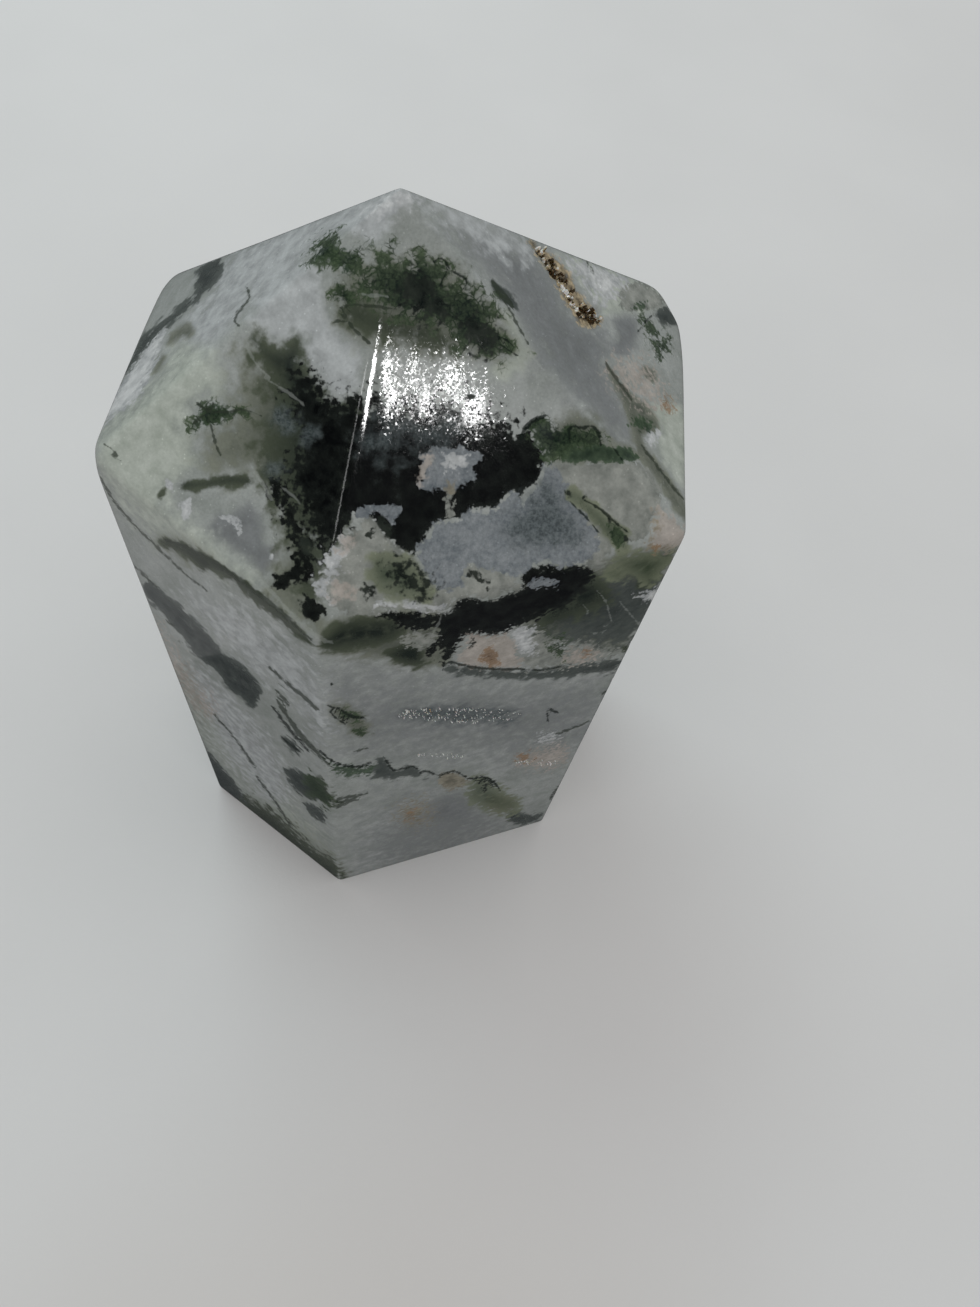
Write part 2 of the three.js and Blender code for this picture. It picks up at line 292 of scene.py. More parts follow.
PATCHES["olive"] = (
    Patch("dark green under the front corner", 3.5, [(316, 642), (334, 622), (352, 616), (378, 614),
        (398, 618), (408, 630), (398, 640), (384, 646), (362, 648), (340, 652), (322, 652)]),
    Patch("dark base edge on the left", 4.5, [(242, 794), (256, 803), (272, 810), (290, 826), (305, 842),
        (322, 855), (336, 862), (346, 876), (338, 888), (300, 866), (250, 828)]),
    # Partly painted shade: along the left shoulder edge this dark band stands for the shade of the rounded
    # edge; further left, where it drops below the edge, it is a real vein.
    Patch("dark line of the left shoulder", 2.2, [(158, 537), (178, 540), (197, 550), (213, 558),
        (230, 568), (246, 580), (265, 596), (285, 614), (303, 631), (320, 645), (314, 649), (296, 636),
        (276, 620), (258, 605), (240, 589), (224, 577), (208, 569), (203, 574), (192, 561), (176, 551),
        (160, 546)]),
    Patch("left olive body", 4, [(247, 336), (256, 334), (262, 342), (272, 347), (283, 348), (291, 342),
        (295, 336), (301, 338), (303, 350), (303, 363), (312, 376), (320, 386), (332, 402), (352, 399),
        (366, 396), (360, 452), (350, 501), (340, 548), (326, 575), (318, 560), (310, 520), (302, 480),
        (296, 440), (290, 410), (278, 385), (262, 362)]),
    Patch("soft left of the olive body", 14, [(250, 345), (290, 355), (340, 400), (345, 480), (335, 560),
        (318, 600), (296, 580), (288, 545), (278, 512), (262, 480), (255, 450), (262, 420), (262, 385)]),
    Patch("olive over the crystalline triangle", 6, [(255, 466), (275, 470), (300, 510), (312, 560),
        (322, 606), (306, 600), (292, 575), (296, 552), (288, 530), (276, 505), (264, 488)]),
    Patch("eyebrow over the crystalline triangle", 2.5, [(176, 483), (184, 479), (196, 480), (206, 479),
        (216, 477), (226, 474), (240, 474), (251, 476), (256, 485), (247, 487), (232, 486), (220, 487),
        (208, 488), (198, 489), (186, 492), (177, 489)]),
    Patch("olive hook", 2, [(164, 487), (168, 484), (163, 494), (160, 504), (157, 500), (160, 491)]),
    Patch("olive lens under the front corner", 2.5, [(380, 652), (390, 647), (400, 643), (412, 641),
        (420, 643), (426, 650), (424, 659), (432, 664), (416, 668), (400, 665), (388, 659)]),
    Patch("olive mottle left of the lens", 3.5, [(330, 632), (345, 624), (360, 620), (385, 614), (402, 618),
        (398, 632), (386, 642), (372, 640), (356, 648), (338, 650), (326, 644)]),
    Patch("olive rim right of the layer", 5, [(556, 568), (590, 570), (608, 582), (618, 600), (600, 612),
        (572, 622), (548, 632), (530, 622), (550, 600)]),
    Patch("olive fringe on the right outline", 3, [(650, 588), (668, 565), (680, 550), (660, 552),
        (640, 560), (640, 575), (632, 585), (640, 592)]),
    Patch("dark nick on the right outline", 1.5, [(622, 646), (634, 642), (628, 652), (622, 656)]),
    Patch("brown green of the moss rim", 5, [(338, 282), (352, 288), (356, 300), (372, 304), (372, 318),
        (352, 316), (345, 308), (336, 300)]),
    Patch("olive under the moss cloud", 8, [(340, 302), (356, 300), (372, 306), (400, 316), (430, 318),
        (452, 332), (464, 354), (440, 354), (415, 348), (390, 342), (366, 336), (350, 328), (338, 316)]),
    Patch("speckle beside the slate wedge", 3, [(306, 775), (314, 773), (326, 783), (337, 798), (338, 808),
        (328, 808), (316, 800), (308, 788)]),
)
PATCHES["smoke"] = (
    Patch("band on the far left facet", 3, [(202, 262), (222, 254), (224, 268), (219, 279), (210, 289),
        (200, 298), (188, 309), (178, 319), (168, 326), (160, 334), (152, 342), (145, 351), (136, 363),
        (126, 377), (117, 384), (126, 366), (134, 350), (142, 336), (150, 330), (160, 322), (170, 315),
        (180, 307), (190, 298), (198, 290), (193, 282), (196, 272)]),
    Patch("blade beside the cleft", 2, [(490, 279), (500, 284), (508, 291), (516, 298), (520, 312),
        (513, 308), (505, 304), (498, 297), (493, 289)]),
    Patch("far left outline mark", 1.5, [(148, 316), (152, 306), (155, 308), (152, 314)]),
    Patch("slate band on the left side", 2, [(140, 582), (150, 581), (157, 585), (163, 591), (169, 597),
        (176, 602), (183, 607), (188, 612), (200, 625), (208, 633), (216, 642), (224, 654), (231, 658),
        (239, 663), (246, 669), (252, 675), (257, 680), (260, 686), (262, 692), (261, 697), (256, 703),
        (258, 711), (248, 706), (236, 694), (226, 688), (222, 681), (219, 673), (213, 667), (207, 664),
        (200, 659), (193, 653), (188, 645), (183, 638), (176, 631), (170, 624), (163, 614), (156, 607),
        (148, 601), (142, 592)]),
    Patch("slate wedge on the left side", 2, [(281, 766), (294, 769), (308, 775), (316, 784), (326, 798),
        (316, 802), (300, 795), (290, 784)]),
    Patch("speckled patch beside the strand", 3, [(280, 736), (292, 738), (304, 750), (300, 757),
        (288, 748)]),
    Patch("lower slate wedge on the left side", 1.8, [(300, 801), (312, 804), (322, 810), (328, 823),
        (320, 821), (311, 815)]),
    Patch("dark triangle at the foot", 2, [(200, 738), (206, 748), (218, 762), (230, 775), (245, 797),
        (256, 810), (238, 808), (212, 792), (202, 765)]),
    Patch("green band under the cream patch", 2.5, [(441, 671), (452, 663), (466, 667), (490, 670),
        (520, 671), (545, 671), (560, 666), (590, 663), (625, 657), (640, 652), (618, 672), (596, 673),
        (576, 676), (541, 679), (513, 679), (480, 677), (455, 674)]),
    Patch("green worn corner", 2.5, [(655, 311), (668, 303), (676, 314), (681, 324), (672, 328), (662, 325),
        (654, 318)]),
    Patch("grey bumps on the dark strand", 3, [(374, 768), (376, 758), (382, 756), (388, 762), (394, 772),
        (403, 768), (412, 764), (418, 770), (424, 770), (430, 774), (424, 778), (405, 776), (385, 780),
        (370, 776)]),
    Patch("green grey body right of the layer", 13, [(545, 600), (575, 584), (615, 574), (655, 560),
        (672, 585), (646, 640), (600, 650), (560, 640), (528, 634)]),
    Patch("dark base edge on the right", 2.5, [(506, 813), (516, 811), (530, 815), (544, 813), (541, 821),
        (522, 825), (508, 822)]),
)
PATCHES["stain"] = (
    Patch("olive dome at the right foot", 4, [(466, 790), (470, 777), (485, 775), (496, 784), (506, 792),
        (521, 798), (521, 810), (508, 816), (488, 813), (474, 806), (464, 798)]),
    Patch("olive of the left plate", 4.5, [(374, 550), (395, 550), (410, 558), (422, 570), (430, 585),
        (440, 600), (425, 604), (400, 602), (378, 596), (366, 580), (366, 562)]),
    Patch("green feather on the right plate", 2.5, [(563, 493), (567, 488), (574, 487), (581, 491),
        (588, 498), (598, 506), (608, 516), (618, 522), (630, 529), (632, 534), (627, 537), (630, 543),
        (632, 549), (626, 553), (617, 548), (609, 544), (601, 536), (595, 528), (588, 520), (582, 512),
        (575, 505), (567, 499)]),
    Patch("olive brown below the right corner", 4, [(610, 556), (628, 552), (645, 548), (660, 552),
        (680, 551), (668, 568), (650, 590), (636, 582), (618, 572)]),
    Patch("green right part of the blobs", 3, [(600, 574), (612, 566), (625, 570), (630, 580), (612, 582)]),
)
PATCHES["ink"] = (
    Patch("dark of the left facet", 9, [(296, 368), (310, 376), (320, 388), (334, 403), (352, 400),
        (366, 394), (362, 452), (352, 501), (344, 545), (330, 560), (318, 545), (306, 520), (298, 495),
        (290, 476), (292, 462), (298, 452), (304, 440), (298, 420), (292, 402), (288, 385)]),
    Patch("dark rim of the left facet", 6, [(276, 478), (290, 490), (298, 512), (306, 540), (316, 575),
        (306, 585), (296, 560), (288, 530), (276, 505), (266, 484)]),
    Patch("black of the front facet", 2.5, [(352, 404), (380, 424), (420, 428), (460, 428), (500, 434),
        (520, 440), (528, 426), (541, 417), (546, 419), (534, 428), (531, 440), (541, 447), (546, 455),
        (541, 462), (540, 478), (536, 486), (527, 487), (523, 500), (518, 498), (512, 489), (503, 499),
        (496, 509), (488, 505), (482, 508), (472, 508), (465, 517), (455, 520), (432, 521), (429, 534),
        (424, 540), (414, 546), (419, 558), (411, 556), (402, 549), (392, 541), (380, 531), (372, 520),
        (366, 514), (352, 514), (342, 530), (330, 548), (318, 580), (324, 548), (336, 500), (345, 452)]),
    Patch("dark under the highlights", 15, [(350, 398), (380, 398), (420, 400), (460, 404), (500, 416),
        (524, 438), (500, 455), (440, 445), (400, 445), (350, 450)]),
    Patch("black moss cluster", 2, [(270, 576), (275, 573), (281, 576), (287, 570), (293, 566), (296, 558),
        (301, 558), (303, 566), (306, 574), (298, 579), (290, 578), (297, 583), (290, 586), (282, 588),
        (274, 590), (271, 585), (276, 580)]),
    Patch("lower black moss cluster", 2.5, [(297, 594), (304, 596), (313, 598), (321, 604), (329, 611),
        (323, 618), (312, 621), (304, 617), (297, 612), (304, 604)]),
    Patch("dark layer of the front right side", 3, [(452, 612), (451, 602), (458, 596), (470, 596),
        (484, 599), (498, 599), (502, 594), (512, 591), (522, 588), (521, 578), (526, 570), (536, 566),
        (548, 565), (562, 566), (580, 564), (590, 568), (596, 575), (588, 586), (578, 594), (568, 606),
        (550, 612), (540, 618), (522, 626), (505, 633), (492, 637), (480, 635), (466, 634), (458, 645),
        (450, 656), (442, 668), (440, 662), (446, 650), (440, 645), (428, 656), (424, 652), (430, 642),
        (440, 634), (436, 626), (424, 632), (410, 630), (396, 626), (402, 614), (425, 614), (440, 613)]),
    Patch("black tongue left of the layer", 3, [(372, 616), (385, 612), (405, 609), (424, 612), (425, 618),
        (412, 632), (398, 626), (385, 618)]),
)
PATCHES["spot"] = (
    Patch("core of the moss cloud", 8, [(398, 290), (408, 278), (420, 274), (432, 282), (440, 296),
        (447, 306), (449, 316), (436, 320), (422, 316), (406, 304)]),
    Patch("dark moss on the right of the cloud", 8, [(462, 322), (478, 320), (492, 326), (497, 338),
        (492, 350), (484, 355), (474, 348), (466, 336)]),
    Patch("dark olive of the left plate", 10, [(390, 562), (404, 562), (418, 570), (430, 584), (434, 592),
        (420, 592), (402, 586), (390, 576)]),
    Patch("dark bay in the grain plate", 2, [(466, 571), (471, 567), (480, 574), (476, 578), (468, 577)]),
    Patch("black slit in the grain plate", 1.5, [(477, 580), (484, 578), (493, 580), (491, 583),
        (480, 583)]),
    Patch("dark dot in the grain plate", 1.5, [(485, 589), (488, 586), (492, 589), (489, 593)]),
    Patch("dark eye beside the bridge", 1.5, [(365, 534), (370, 530), (375, 533), (372, 538), (366, 537)]),
    Patch("wedge beside the bridge", 2, [(374, 515), (382, 517), (388, 524), (394, 534), (388, 538),
        (380, 528)]),
    Patch("dark spot in the left plate", 3, [(361, 587), (367, 584), (374, 589), (374, 597), (367, 599),
        (362, 594)]),
    Patch("green bar in the left plate", 2.5, [(411, 582), (420, 580), (429, 581), (428, 585), (418, 586)]),
    Patch("lower dark bar in the left plate", 3, [(413, 600), (420, 595), (430, 596), (432, 601),
        (422, 603)]),
    Patch("dark ring in the cream patch", 1.8, [(468, 644), (472, 639), (477, 642), (476, 648),
        (470, 648)]),
    Patch("left end of the feather", 2, [(564, 494), (567, 490), (572, 493), (568, 497)]),
    Patch("dark spot on the feather", 2, [(578, 497), (582, 494), (586, 498), (582, 500)]),
    Patch("dark edge of the feather", 1.8, [(608, 518), (613, 521), (619, 526), (615, 526), (609, 522)]),
    Patch("dark drops on the feather", 1.5, [(620, 536), (625, 535), (630, 540), (628, 544), (622, 540)]),
    Patch("black hole at the right foot", 1.5, [(481, 788), (483, 784), (486, 785), (487, 791),
        (483, 792)]),
    Patch("dark cap of the green lens", 2.5, [(476, 779), (486, 778), (494, 782), (497, 788), (490, 784),
        (480, 783)]),
    Patch("dark dot on the pale band", 1.5, [(330, 685), (332, 683), (334, 685), (332, 687)]),
    Patch("rim of the black moss", 2, [(300, 536), (308, 540), (312, 552), (306, 556), (300, 546)]),
    Patch("dark heart of the rosette", 2, [(486, 656), (490, 654), (493, 658), (489, 661)]),
)
PATCHES["grain"] = (
    Patch("blue grain plate", 2.5, [(418, 545), (430, 540), (433, 524), (445, 521), (455, 521), (464, 517),
        (470, 507), (475, 513), (483, 511), (494, 512), (500, 504), (505, 498), (512, 489), (517, 493),
        (522, 502), (527, 503), (529, 493), (536, 488), (542, 480), (545, 464), (556, 468), (564, 478),
        (570, 494), (580, 508), (592, 524), (600, 536), (600, 548), (590, 556), (585, 565), (575, 563),
        (567, 568), (556, 567), (550, 561), (543, 559), (536, 562), (525, 570), (518, 578), (508, 576),
        (498, 572), (482, 568), (472, 562), (464, 568), (466, 580), (458, 588), (446, 592), (436, 590),
        (428, 580), (422, 568), (417, 556)]),
    Patch("wisp over the dark layer", 2, [(526, 588), (531, 582), (537, 578), (545, 577), (553, 578),
        (557, 584), (562, 587), (550, 586), (540, 588)]),
    Patch("white island", 2, [(420, 453), (430, 449), (440, 447), (455, 446), (466, 449), (480, 452),
        (485, 456), (477, 460), (473, 467), (476, 474), (473, 481), (465, 483), (458, 489), (450, 492),
        (440, 489), (430, 491), (420, 487), (415, 483), (423, 478), (424, 468), (419, 459)]),
    Patch("white bridge", 1.8, [(353, 513), (358, 508), (368, 507), (380, 504), (390, 506), (404, 506),
        (400, 514), (396, 520), (396, 528), (390, 521), (384, 514), (374, 512), (366, 516), (360, 519)]),
)
PATCHES["slate"] = (
    Patch("lilac clouds in the left olive body", 6, [(270, 412), (279, 407), (290, 414), (297, 425),
        (291, 434), (280, 430), (272, 421)]),
    Patch("second lilac cloud", 5, [(300, 437), (307, 429), (316, 428), (319, 437), (312, 443),
        (304, 443)]),
    Patch("third lilac cloud", 6, [(264, 464), (276, 464), (282, 474), (272, 476)]),
    Patch("blue heart of the grain plate", 9, [(500, 522), (524, 506), (538, 492), (548, 478), (558, 486),
        (568, 508), (584, 530), (578, 544), (550, 546), (520, 544), (504, 536)]),
    # Painted highlight: this faint grey in the black below the mirrored lights stands for the spread of their
    # glitter.
    Patch("grey bloom in the black", 20, [(374, 430), (410, 428), (450, 432), (430, 438), (392, 442),
        (374, 450)]),
    Patch("bluish shade round the crystal row", 5, [(400, 711), (430, 708), (480, 709), (518, 712),
        (518, 721), (480, 722), (430, 721), (404, 717)]),
)
PATCHES["cream"] = (
    Patch("pink of the left plate", 4, [(327, 585), (340, 579), (352, 585), (357, 592), (350, 599),
        (338, 601), (328, 596)]),
    Patch("upper pink of the left plate", 4, [(336, 546), (343, 537), (356, 538), (350, 550), (340, 554)]),
    Patch("cream patch on the front right side", 2.5, [(454, 660), (462, 651), (470, 644), (464, 637),
        (475, 635), (492, 637), (508, 634), (516, 642), (515, 655), (525, 660), (515, 669), (495, 668),
        (480, 667), (466, 666)]),
    Patch("tan of the right corner", 4, [(655, 513), (662, 508), (668, 513), (676, 520), (684, 528),
        (692, 534), (688, 545), (678, 550), (666, 551), (652, 550), (645, 545), (651, 538), (653, 525)]),
    Patch("beige on the right facet", 12, [(612, 366), (640, 362), (655, 385), (664, 400), (652, 406),
        (636, 394), (622, 384)]),
    Patch("pink tan low on the right", 5, [(516, 762), (530, 754), (548, 748), (566, 746), (566, 762),
        (548, 768), (528, 766)]),
    Patch("pink by the green band", 4, [(560, 660), (575, 650), (590, 648), (600, 654), (592, 660),
        (570, 665)]),
    Patch("beige side of the white island", 3, [(421, 453), (430, 451), (432, 460), (427, 472), (423, 484),
        (416, 484), (423, 470)]),
    Patch("pinkish strip under the slate band", 8, [(152, 620), (164, 640), (180, 664), (200, 692),
        (216, 712), (206, 716), (186, 694), (166, 662)]),
)
PATCHES["ochre"] = (
    Patch("brown rim of the right corner", 4, [(655, 513), (660, 514), (658, 530), (652, 545), (664, 548),
        (680, 546), (676, 551), (652, 550), (645, 545), (651, 538), (653, 525)]),
    Patch("yellow lens low on the front", 2, [(437, 778), (443, 772), (455, 771), (464, 778), (474, 780),
        (462, 786), (452, 791), (442, 787)]),
    Patch("yellow of the olive dome", 3, [(484, 800), (496, 792), (512, 798), (518, 806), (504, 812),
        (490, 810)]),
    Patch("beige foot of the island", 2.5, [(446, 482), (456, 484), (452, 496), (446, 494)]),
    Patch("brown glow low on the front", 9, [(400, 812), (416, 804), (430, 808), (424, 820), (408, 822)]),
)
PATCHES["jade"] = (
    Patch("green band", 1.4, [(556, 450), (566, 444), (578, 446), (588, 446), (600, 445), (612, 446),
        (625, 446), (636, 452), (640, 461), (622, 462), (606, 463), (590, 462), (572, 464), (562, 460)]),
    Patch("dark green cells over the band", 3, [(556, 440), (565, 434), (570, 426), (576, 430), (578, 440),
        (570, 446), (560, 446)]),
    Patch("core of the fern", 3, [(201, 412), (206, 406), (213, 404), (220, 408), (228, 411), (226, 417),
        (216, 421), (208, 423), (201, 419)]),
    Patch("green in the front band", 2.5, [(565, 438), (580, 436), (588, 442), (576, 446), (566, 446)]),
    Patch("bluish green on the right streak", 3, [(632, 414), (640, 418), (648, 418), (655, 426),
        (648, 432), (640, 428), (630, 424)]),
    Patch("dark spot on the fan", 3, [(633, 306), (640, 301), (647, 304), (644, 310), (636, 310)]),
    Patch("left tuft glow", 4, [(312, 258), (320, 246), (330, 237), (336, 240), (334, 252), (344, 256),
        (356, 256), (354, 268), (342, 268), (332, 258), (322, 260)]),
    Patch("fibres of the dark strand", 2.5, [(322, 752), (332, 763), (346, 767), (362, 767), (378, 767),
        (372, 773), (356, 776), (340, 775), (328, 766)]),
)
PATCHES["moss"] = (
    Patch("green end of the feather", 3, [(608, 524), (620, 530), (627, 540), (618, 546), (608, 536)]),
    Patch("left tuft", 7, [(308, 262), (313, 254), (318, 247), (322, 240), (328, 236), (333, 234),
        (338, 234), (339, 240), (336, 247), (338, 252), (345, 250), (352, 249), (358, 245), (362, 243),
        (363, 250), (364, 256), (361, 262), (359, 270), (354, 275), (347, 274), (341, 270), (336, 264),
        (330, 261), (324, 262), (316, 263)]),
    Patch("small tuft", 4, [(383, 246), (388, 241), (393, 240), (395, 246), (398, 250), (396, 255),
        (390, 251)]),
    Patch("second small tuft", 4, [(378, 259), (384, 257), (391, 260), (387, 265), (380, 263)]),
    Patch("third small tuft", 3.5, [(415, 249), (420, 248), (424, 251), (419, 254)]),
    Patch("moss cloud", 9, [(362, 272), (370, 266), (378, 262), (386, 262), (396, 262), (404, 264),
        (410, 258), (420, 256), (430, 258), (436, 262), (444, 263), (449, 268), (446, 278), (446, 284),
        (454, 288), (460, 282), (468, 280), (474, 286), (482, 292), (488, 300), (494, 308), (497, 316),
        (494, 322), (498, 330), (501, 338), (508, 344), (512, 352), (505, 357), (496, 358), (485, 359),
        (475, 357), (466, 352), (458, 345), (450, 340), (446, 330), (440, 323), (430, 320), (418, 319),
        (406, 319), (396, 318), (388, 312), (380, 304), (376, 298), (366, 294), (360, 288), (357, 282),
        (360, 276)]),
    Patch("mottled dark left of the band", 5, [(528, 424), (540, 416), (556, 424), (572, 428), (590, 427),
        (604, 440), (598, 447), (570, 446), (552, 460), (542, 452), (534, 440)]),
    Patch("brown fringe of the cloud", 5, [(336, 280), (344, 284), (352, 290), (354, 300), (346, 308),
        (340, 302), (332, 298), (338, 290)]),
    Patch("tips of the fern", 4, [(190, 427), (196, 418), (202, 410), (196, 402), (206, 405), (212, 400),
        (216, 406), (226, 408), (240, 410), (250, 408), (256, 413), (240, 416), (226, 418), (218, 424),
        (210, 425), (200, 424), (194, 432)]),
    Patch("moss of the right facet", 4, [(655, 332), (659, 330), (660, 340), (666, 340), (671, 336),
        (669, 346), (670, 352), (662, 352), (664, 360), (658, 362), (656, 352), (652, 344)]),
    Patch("streak above that moss", 4, [(641, 317), (647, 320), (654, 328), (657, 336), (650, 334),
        (645, 326)]),
    Patch("green oval strokes", 3, [(338, 706), (346, 712), (356, 716), (366, 718), (352, 720),
        (342, 716)]),
    Patch("green speckles", 3, [(353, 728), (362, 728), (368, 733), (362, 736), (354, 732)]),
    Patch("black green speckle of the slate wedge", 4, [(306, 774), (314, 778), (324, 788), (336, 802),
        (330, 806), (318, 800), (308, 790)]),
    Patch("dark blot right of the layer", 5, [(550, 640), (558, 638), (566, 644), (562, 656), (552, 652)]),
)
PATCHES["gold"] = (
    Patch("golden seam", 3, [(527, 242), (534, 241), (543, 250), (553, 256), (562, 264), (571, 276),
        (576, 288), (582, 298), (590, 306), (594, 314), (602, 315), (603, 321), (596, 327), (584, 327),
        (577, 323), (572, 310), (564, 300), (558, 288), (552, 276), (546, 266), (538, 256)]),
    Patch("thin start of the seam", 3, [(526, 240), (534, 239), (542, 250), (536, 252)]),
)
PATCHES["rust"] = (
    Patch("rust rosette in the cream patch", 3, [(481, 654), (486, 650), (489, 646), (493, 651), (499, 651),
        (497, 657), (500, 663), (494, 663), (489, 668), (487, 662), (481, 661)]),
    Patch("rust by the green band", 3, [(582, 650), (589, 649), (592, 653), (587, 656), (582, 655)]),
    Patch("rust dot of the right corner", 3, [(652, 548), (655, 544), (660, 547), (658, 552), (653, 551)]),
    Patch("reddish streak of the right facet", 5, [(665, 399), (668, 398), (669, 408), (666, 412)]),
    Patch("rust low on the front", 3.5, [(406, 815), (411, 812), (415, 816), (410, 819)]),
    Patch("red brown streak low on the right", 3.5, [(515, 759), (524, 756), (533, 757), (526, 761)]),
)

# Thin strokes traced in photo pixels, under their kind. Each point has its half width as a third number.
Stroke = namedtuple("Stroke", "name path")
STROKES = {}
STROKES["line_dark"] = (
    Stroke("brown line across the moss", [(341, 308, 1.2), (352, 304, 1.4), (366, 306, 1.2),
        (380, 307, 1.2), (396, 309, 1.0)]),
    Stroke("loop under the moss", [(342, 309, 0.8), (347, 320, 1.4), (353, 328, 1.8), (360, 334, 1.8),
        (369, 343, 1.2)]),
    Stroke("twig left of the moss", [(333, 323, 1.0), (339, 321, 1.2), (347, 322, 0.8)]),
    Stroke("blade beside the cleft", [(491, 279, 1.2), (497, 288, 3.0), (504, 298, 4.2), (511, 305, 2.6),
        (515, 308, 1.0)]),
    Stroke("line below the blade", [(506, 303, 1.0), (514, 318, 1.1), (521, 331, 0.9), (529, 345, 0.7)]),
    Stroke("dendrite on the left facet", [(247, 288, 0.8), (250, 295, 1.2), (248, 301, 1.0),
        (241, 309, 1.3), (236, 316, 1.3), (234, 321, 1.0), (239, 326, 0.8)]),
    Stroke("twig down from the fern", [(211, 424, 0.9), (213, 434, 1.0), (216, 446, 0.8), (221, 456, 0.7)]),
    Stroke("curl on the left shoulder", [(104, 444, 0.5), (112, 449, 0.9), (119, 457, 0.9)]),
    Stroke("lower curl on the left shoulder", [(111, 454, 0.5), (116, 459, 1.0), (121, 460, 0.6)]),
    Stroke("vein on the left side", [(100, 476, 1.2), (104, 484, 1.5), (112, 498, 1.1), (122, 512, 1.2),
        (140, 531, 1.0), (158, 548, 1.2), (172, 561, 0.9), (186, 575, 0.9), (199, 584, 1.1),
        (208, 592, 0.8)]),
    # Partly painted shade: where this dark stroke runs on the left shoulder edge it stands for the shade of
    # the rounded edge; its left end is a real vein.
    Stroke("dark of the left shoulder", [(165, 540, 1.2), (182, 545, 1.8), (200, 554, 2.4), (222, 567, 2.2),
        (246, 584, 2.2), (275, 607, 2.2), (298, 628, 1.8), (312, 641, 1.0)]),
    Stroke("second vein on the left side", [(131, 563, 1.2), (138, 570, 1.0), (148, 579, 1.1),
        (158, 588, 0.7)]),
    Stroke("strand on the left side", [(277, 700, 1.4), (285, 713, 1.8), (295, 728, 2.4), (306, 742, 2.6),
        (318, 753, 2.2), (326, 762, 1.4), (334, 769, 0.8)]),
    Stroke("streak above the strand", [(268, 666, 0.8), (280, 677, 1.4), (293, 688, 1.6), (306, 699, 2.2),
        (318, 710, 1.6)]),
    Stroke("short streak above the strand", [(275, 690, 0.8), (282, 696, 2.0), (289, 706, 1.0)]),
    Stroke("sliver at the front edge", [(337, 800, 1.6), (348, 797, 1.6), (360, 795, 1.2),
        (369, 793, 0.6)]),
    Stroke("lower sliver at the front edge", [(337, 808, 1.6), (343, 804, 2.2), (350, 801, 1.4),
        (358, 799, 0.8)]),
    Stroke("upper mark on the pale band", [(355, 752, 0.8), (361, 749, 1.2), (368, 748, 0.6)]),
    Stroke("line low on the right side", [(556, 734, 0.9), (566, 731, 1.2), (575, 727, 1.0),
        (590, 721, 0.6)]),
    Stroke("dash on the right outline", [(600, 694, 0.7), (605, 693, 1.3), (610, 690, 0.7)]),
    Stroke("stroke at the right foot", [(549, 800, 0.8), (554, 793, 1.6), (559, 786, 0.8)]),
    Stroke("mark at the top right outline", [(586, 258, 0.6), (588, 263, 1.0), (588, 267, 0.4)]),
    Stroke("second mark at the top right outline", [(592, 267, 0.6), (593, 272, 1.0), (594, 275, 0.4)]),
    Stroke("double streak on the right facet", [(605, 362, 0.8), (612, 373, 1.4), (621, 385, 1.8),
        (630, 397, 1.8), (633, 402, 0.8)]),
    Stroke("lower edge of the streak", [(640, 444, 0.7), (650, 456, 1.4), (660, 470, 1.4), (672, 486, 1.2),
        (684, 500, 1.0)]),
    Stroke("brown diagonal low on the left", [(214, 714, 0.6), (220, 722, 1.0), (230, 732, 1.0),
        (240, 745, 1.2), (250, 760, 1.4), (256, 768, 0.6)]),
    Stroke("second brown diagonal low on the left", [(256, 776, 0.6), (264, 786, 1.2), (272, 797, 1.0),
        (282, 812, 1.2), (292, 828, 0.8)]),
    Stroke("mark under the slate band", [(166, 620, 0.6), (170, 624, 1.3), (175, 626, 0.6)]),
    Stroke("dot under the slate band", [(178, 641, 0.6), (180, 642, 1.2), (182, 643, 0.6)]),
    Stroke("fern frond one", [(196, 402, 0.5), (203, 408, 1.3), (212, 412, 0.7)]),
    Stroke("fern frond two", [(213, 401, 0.5), (212, 410, 1.4), (208, 422, 0.7)]),
    Stroke("fern frond three", [(190, 427, 0.5), (197, 420, 1.2), (206, 414, 0.8)]),
    Stroke("fern branch", [(215, 412, 1.0), (230, 412, 0.9), (242, 409, 0.8), (252, 412, 0.7),
        (262, 416, 0.5)]),
    Stroke("dark dots on the left facet", [(148, 493, 0.8), (150, 495, 0.8)]),
)
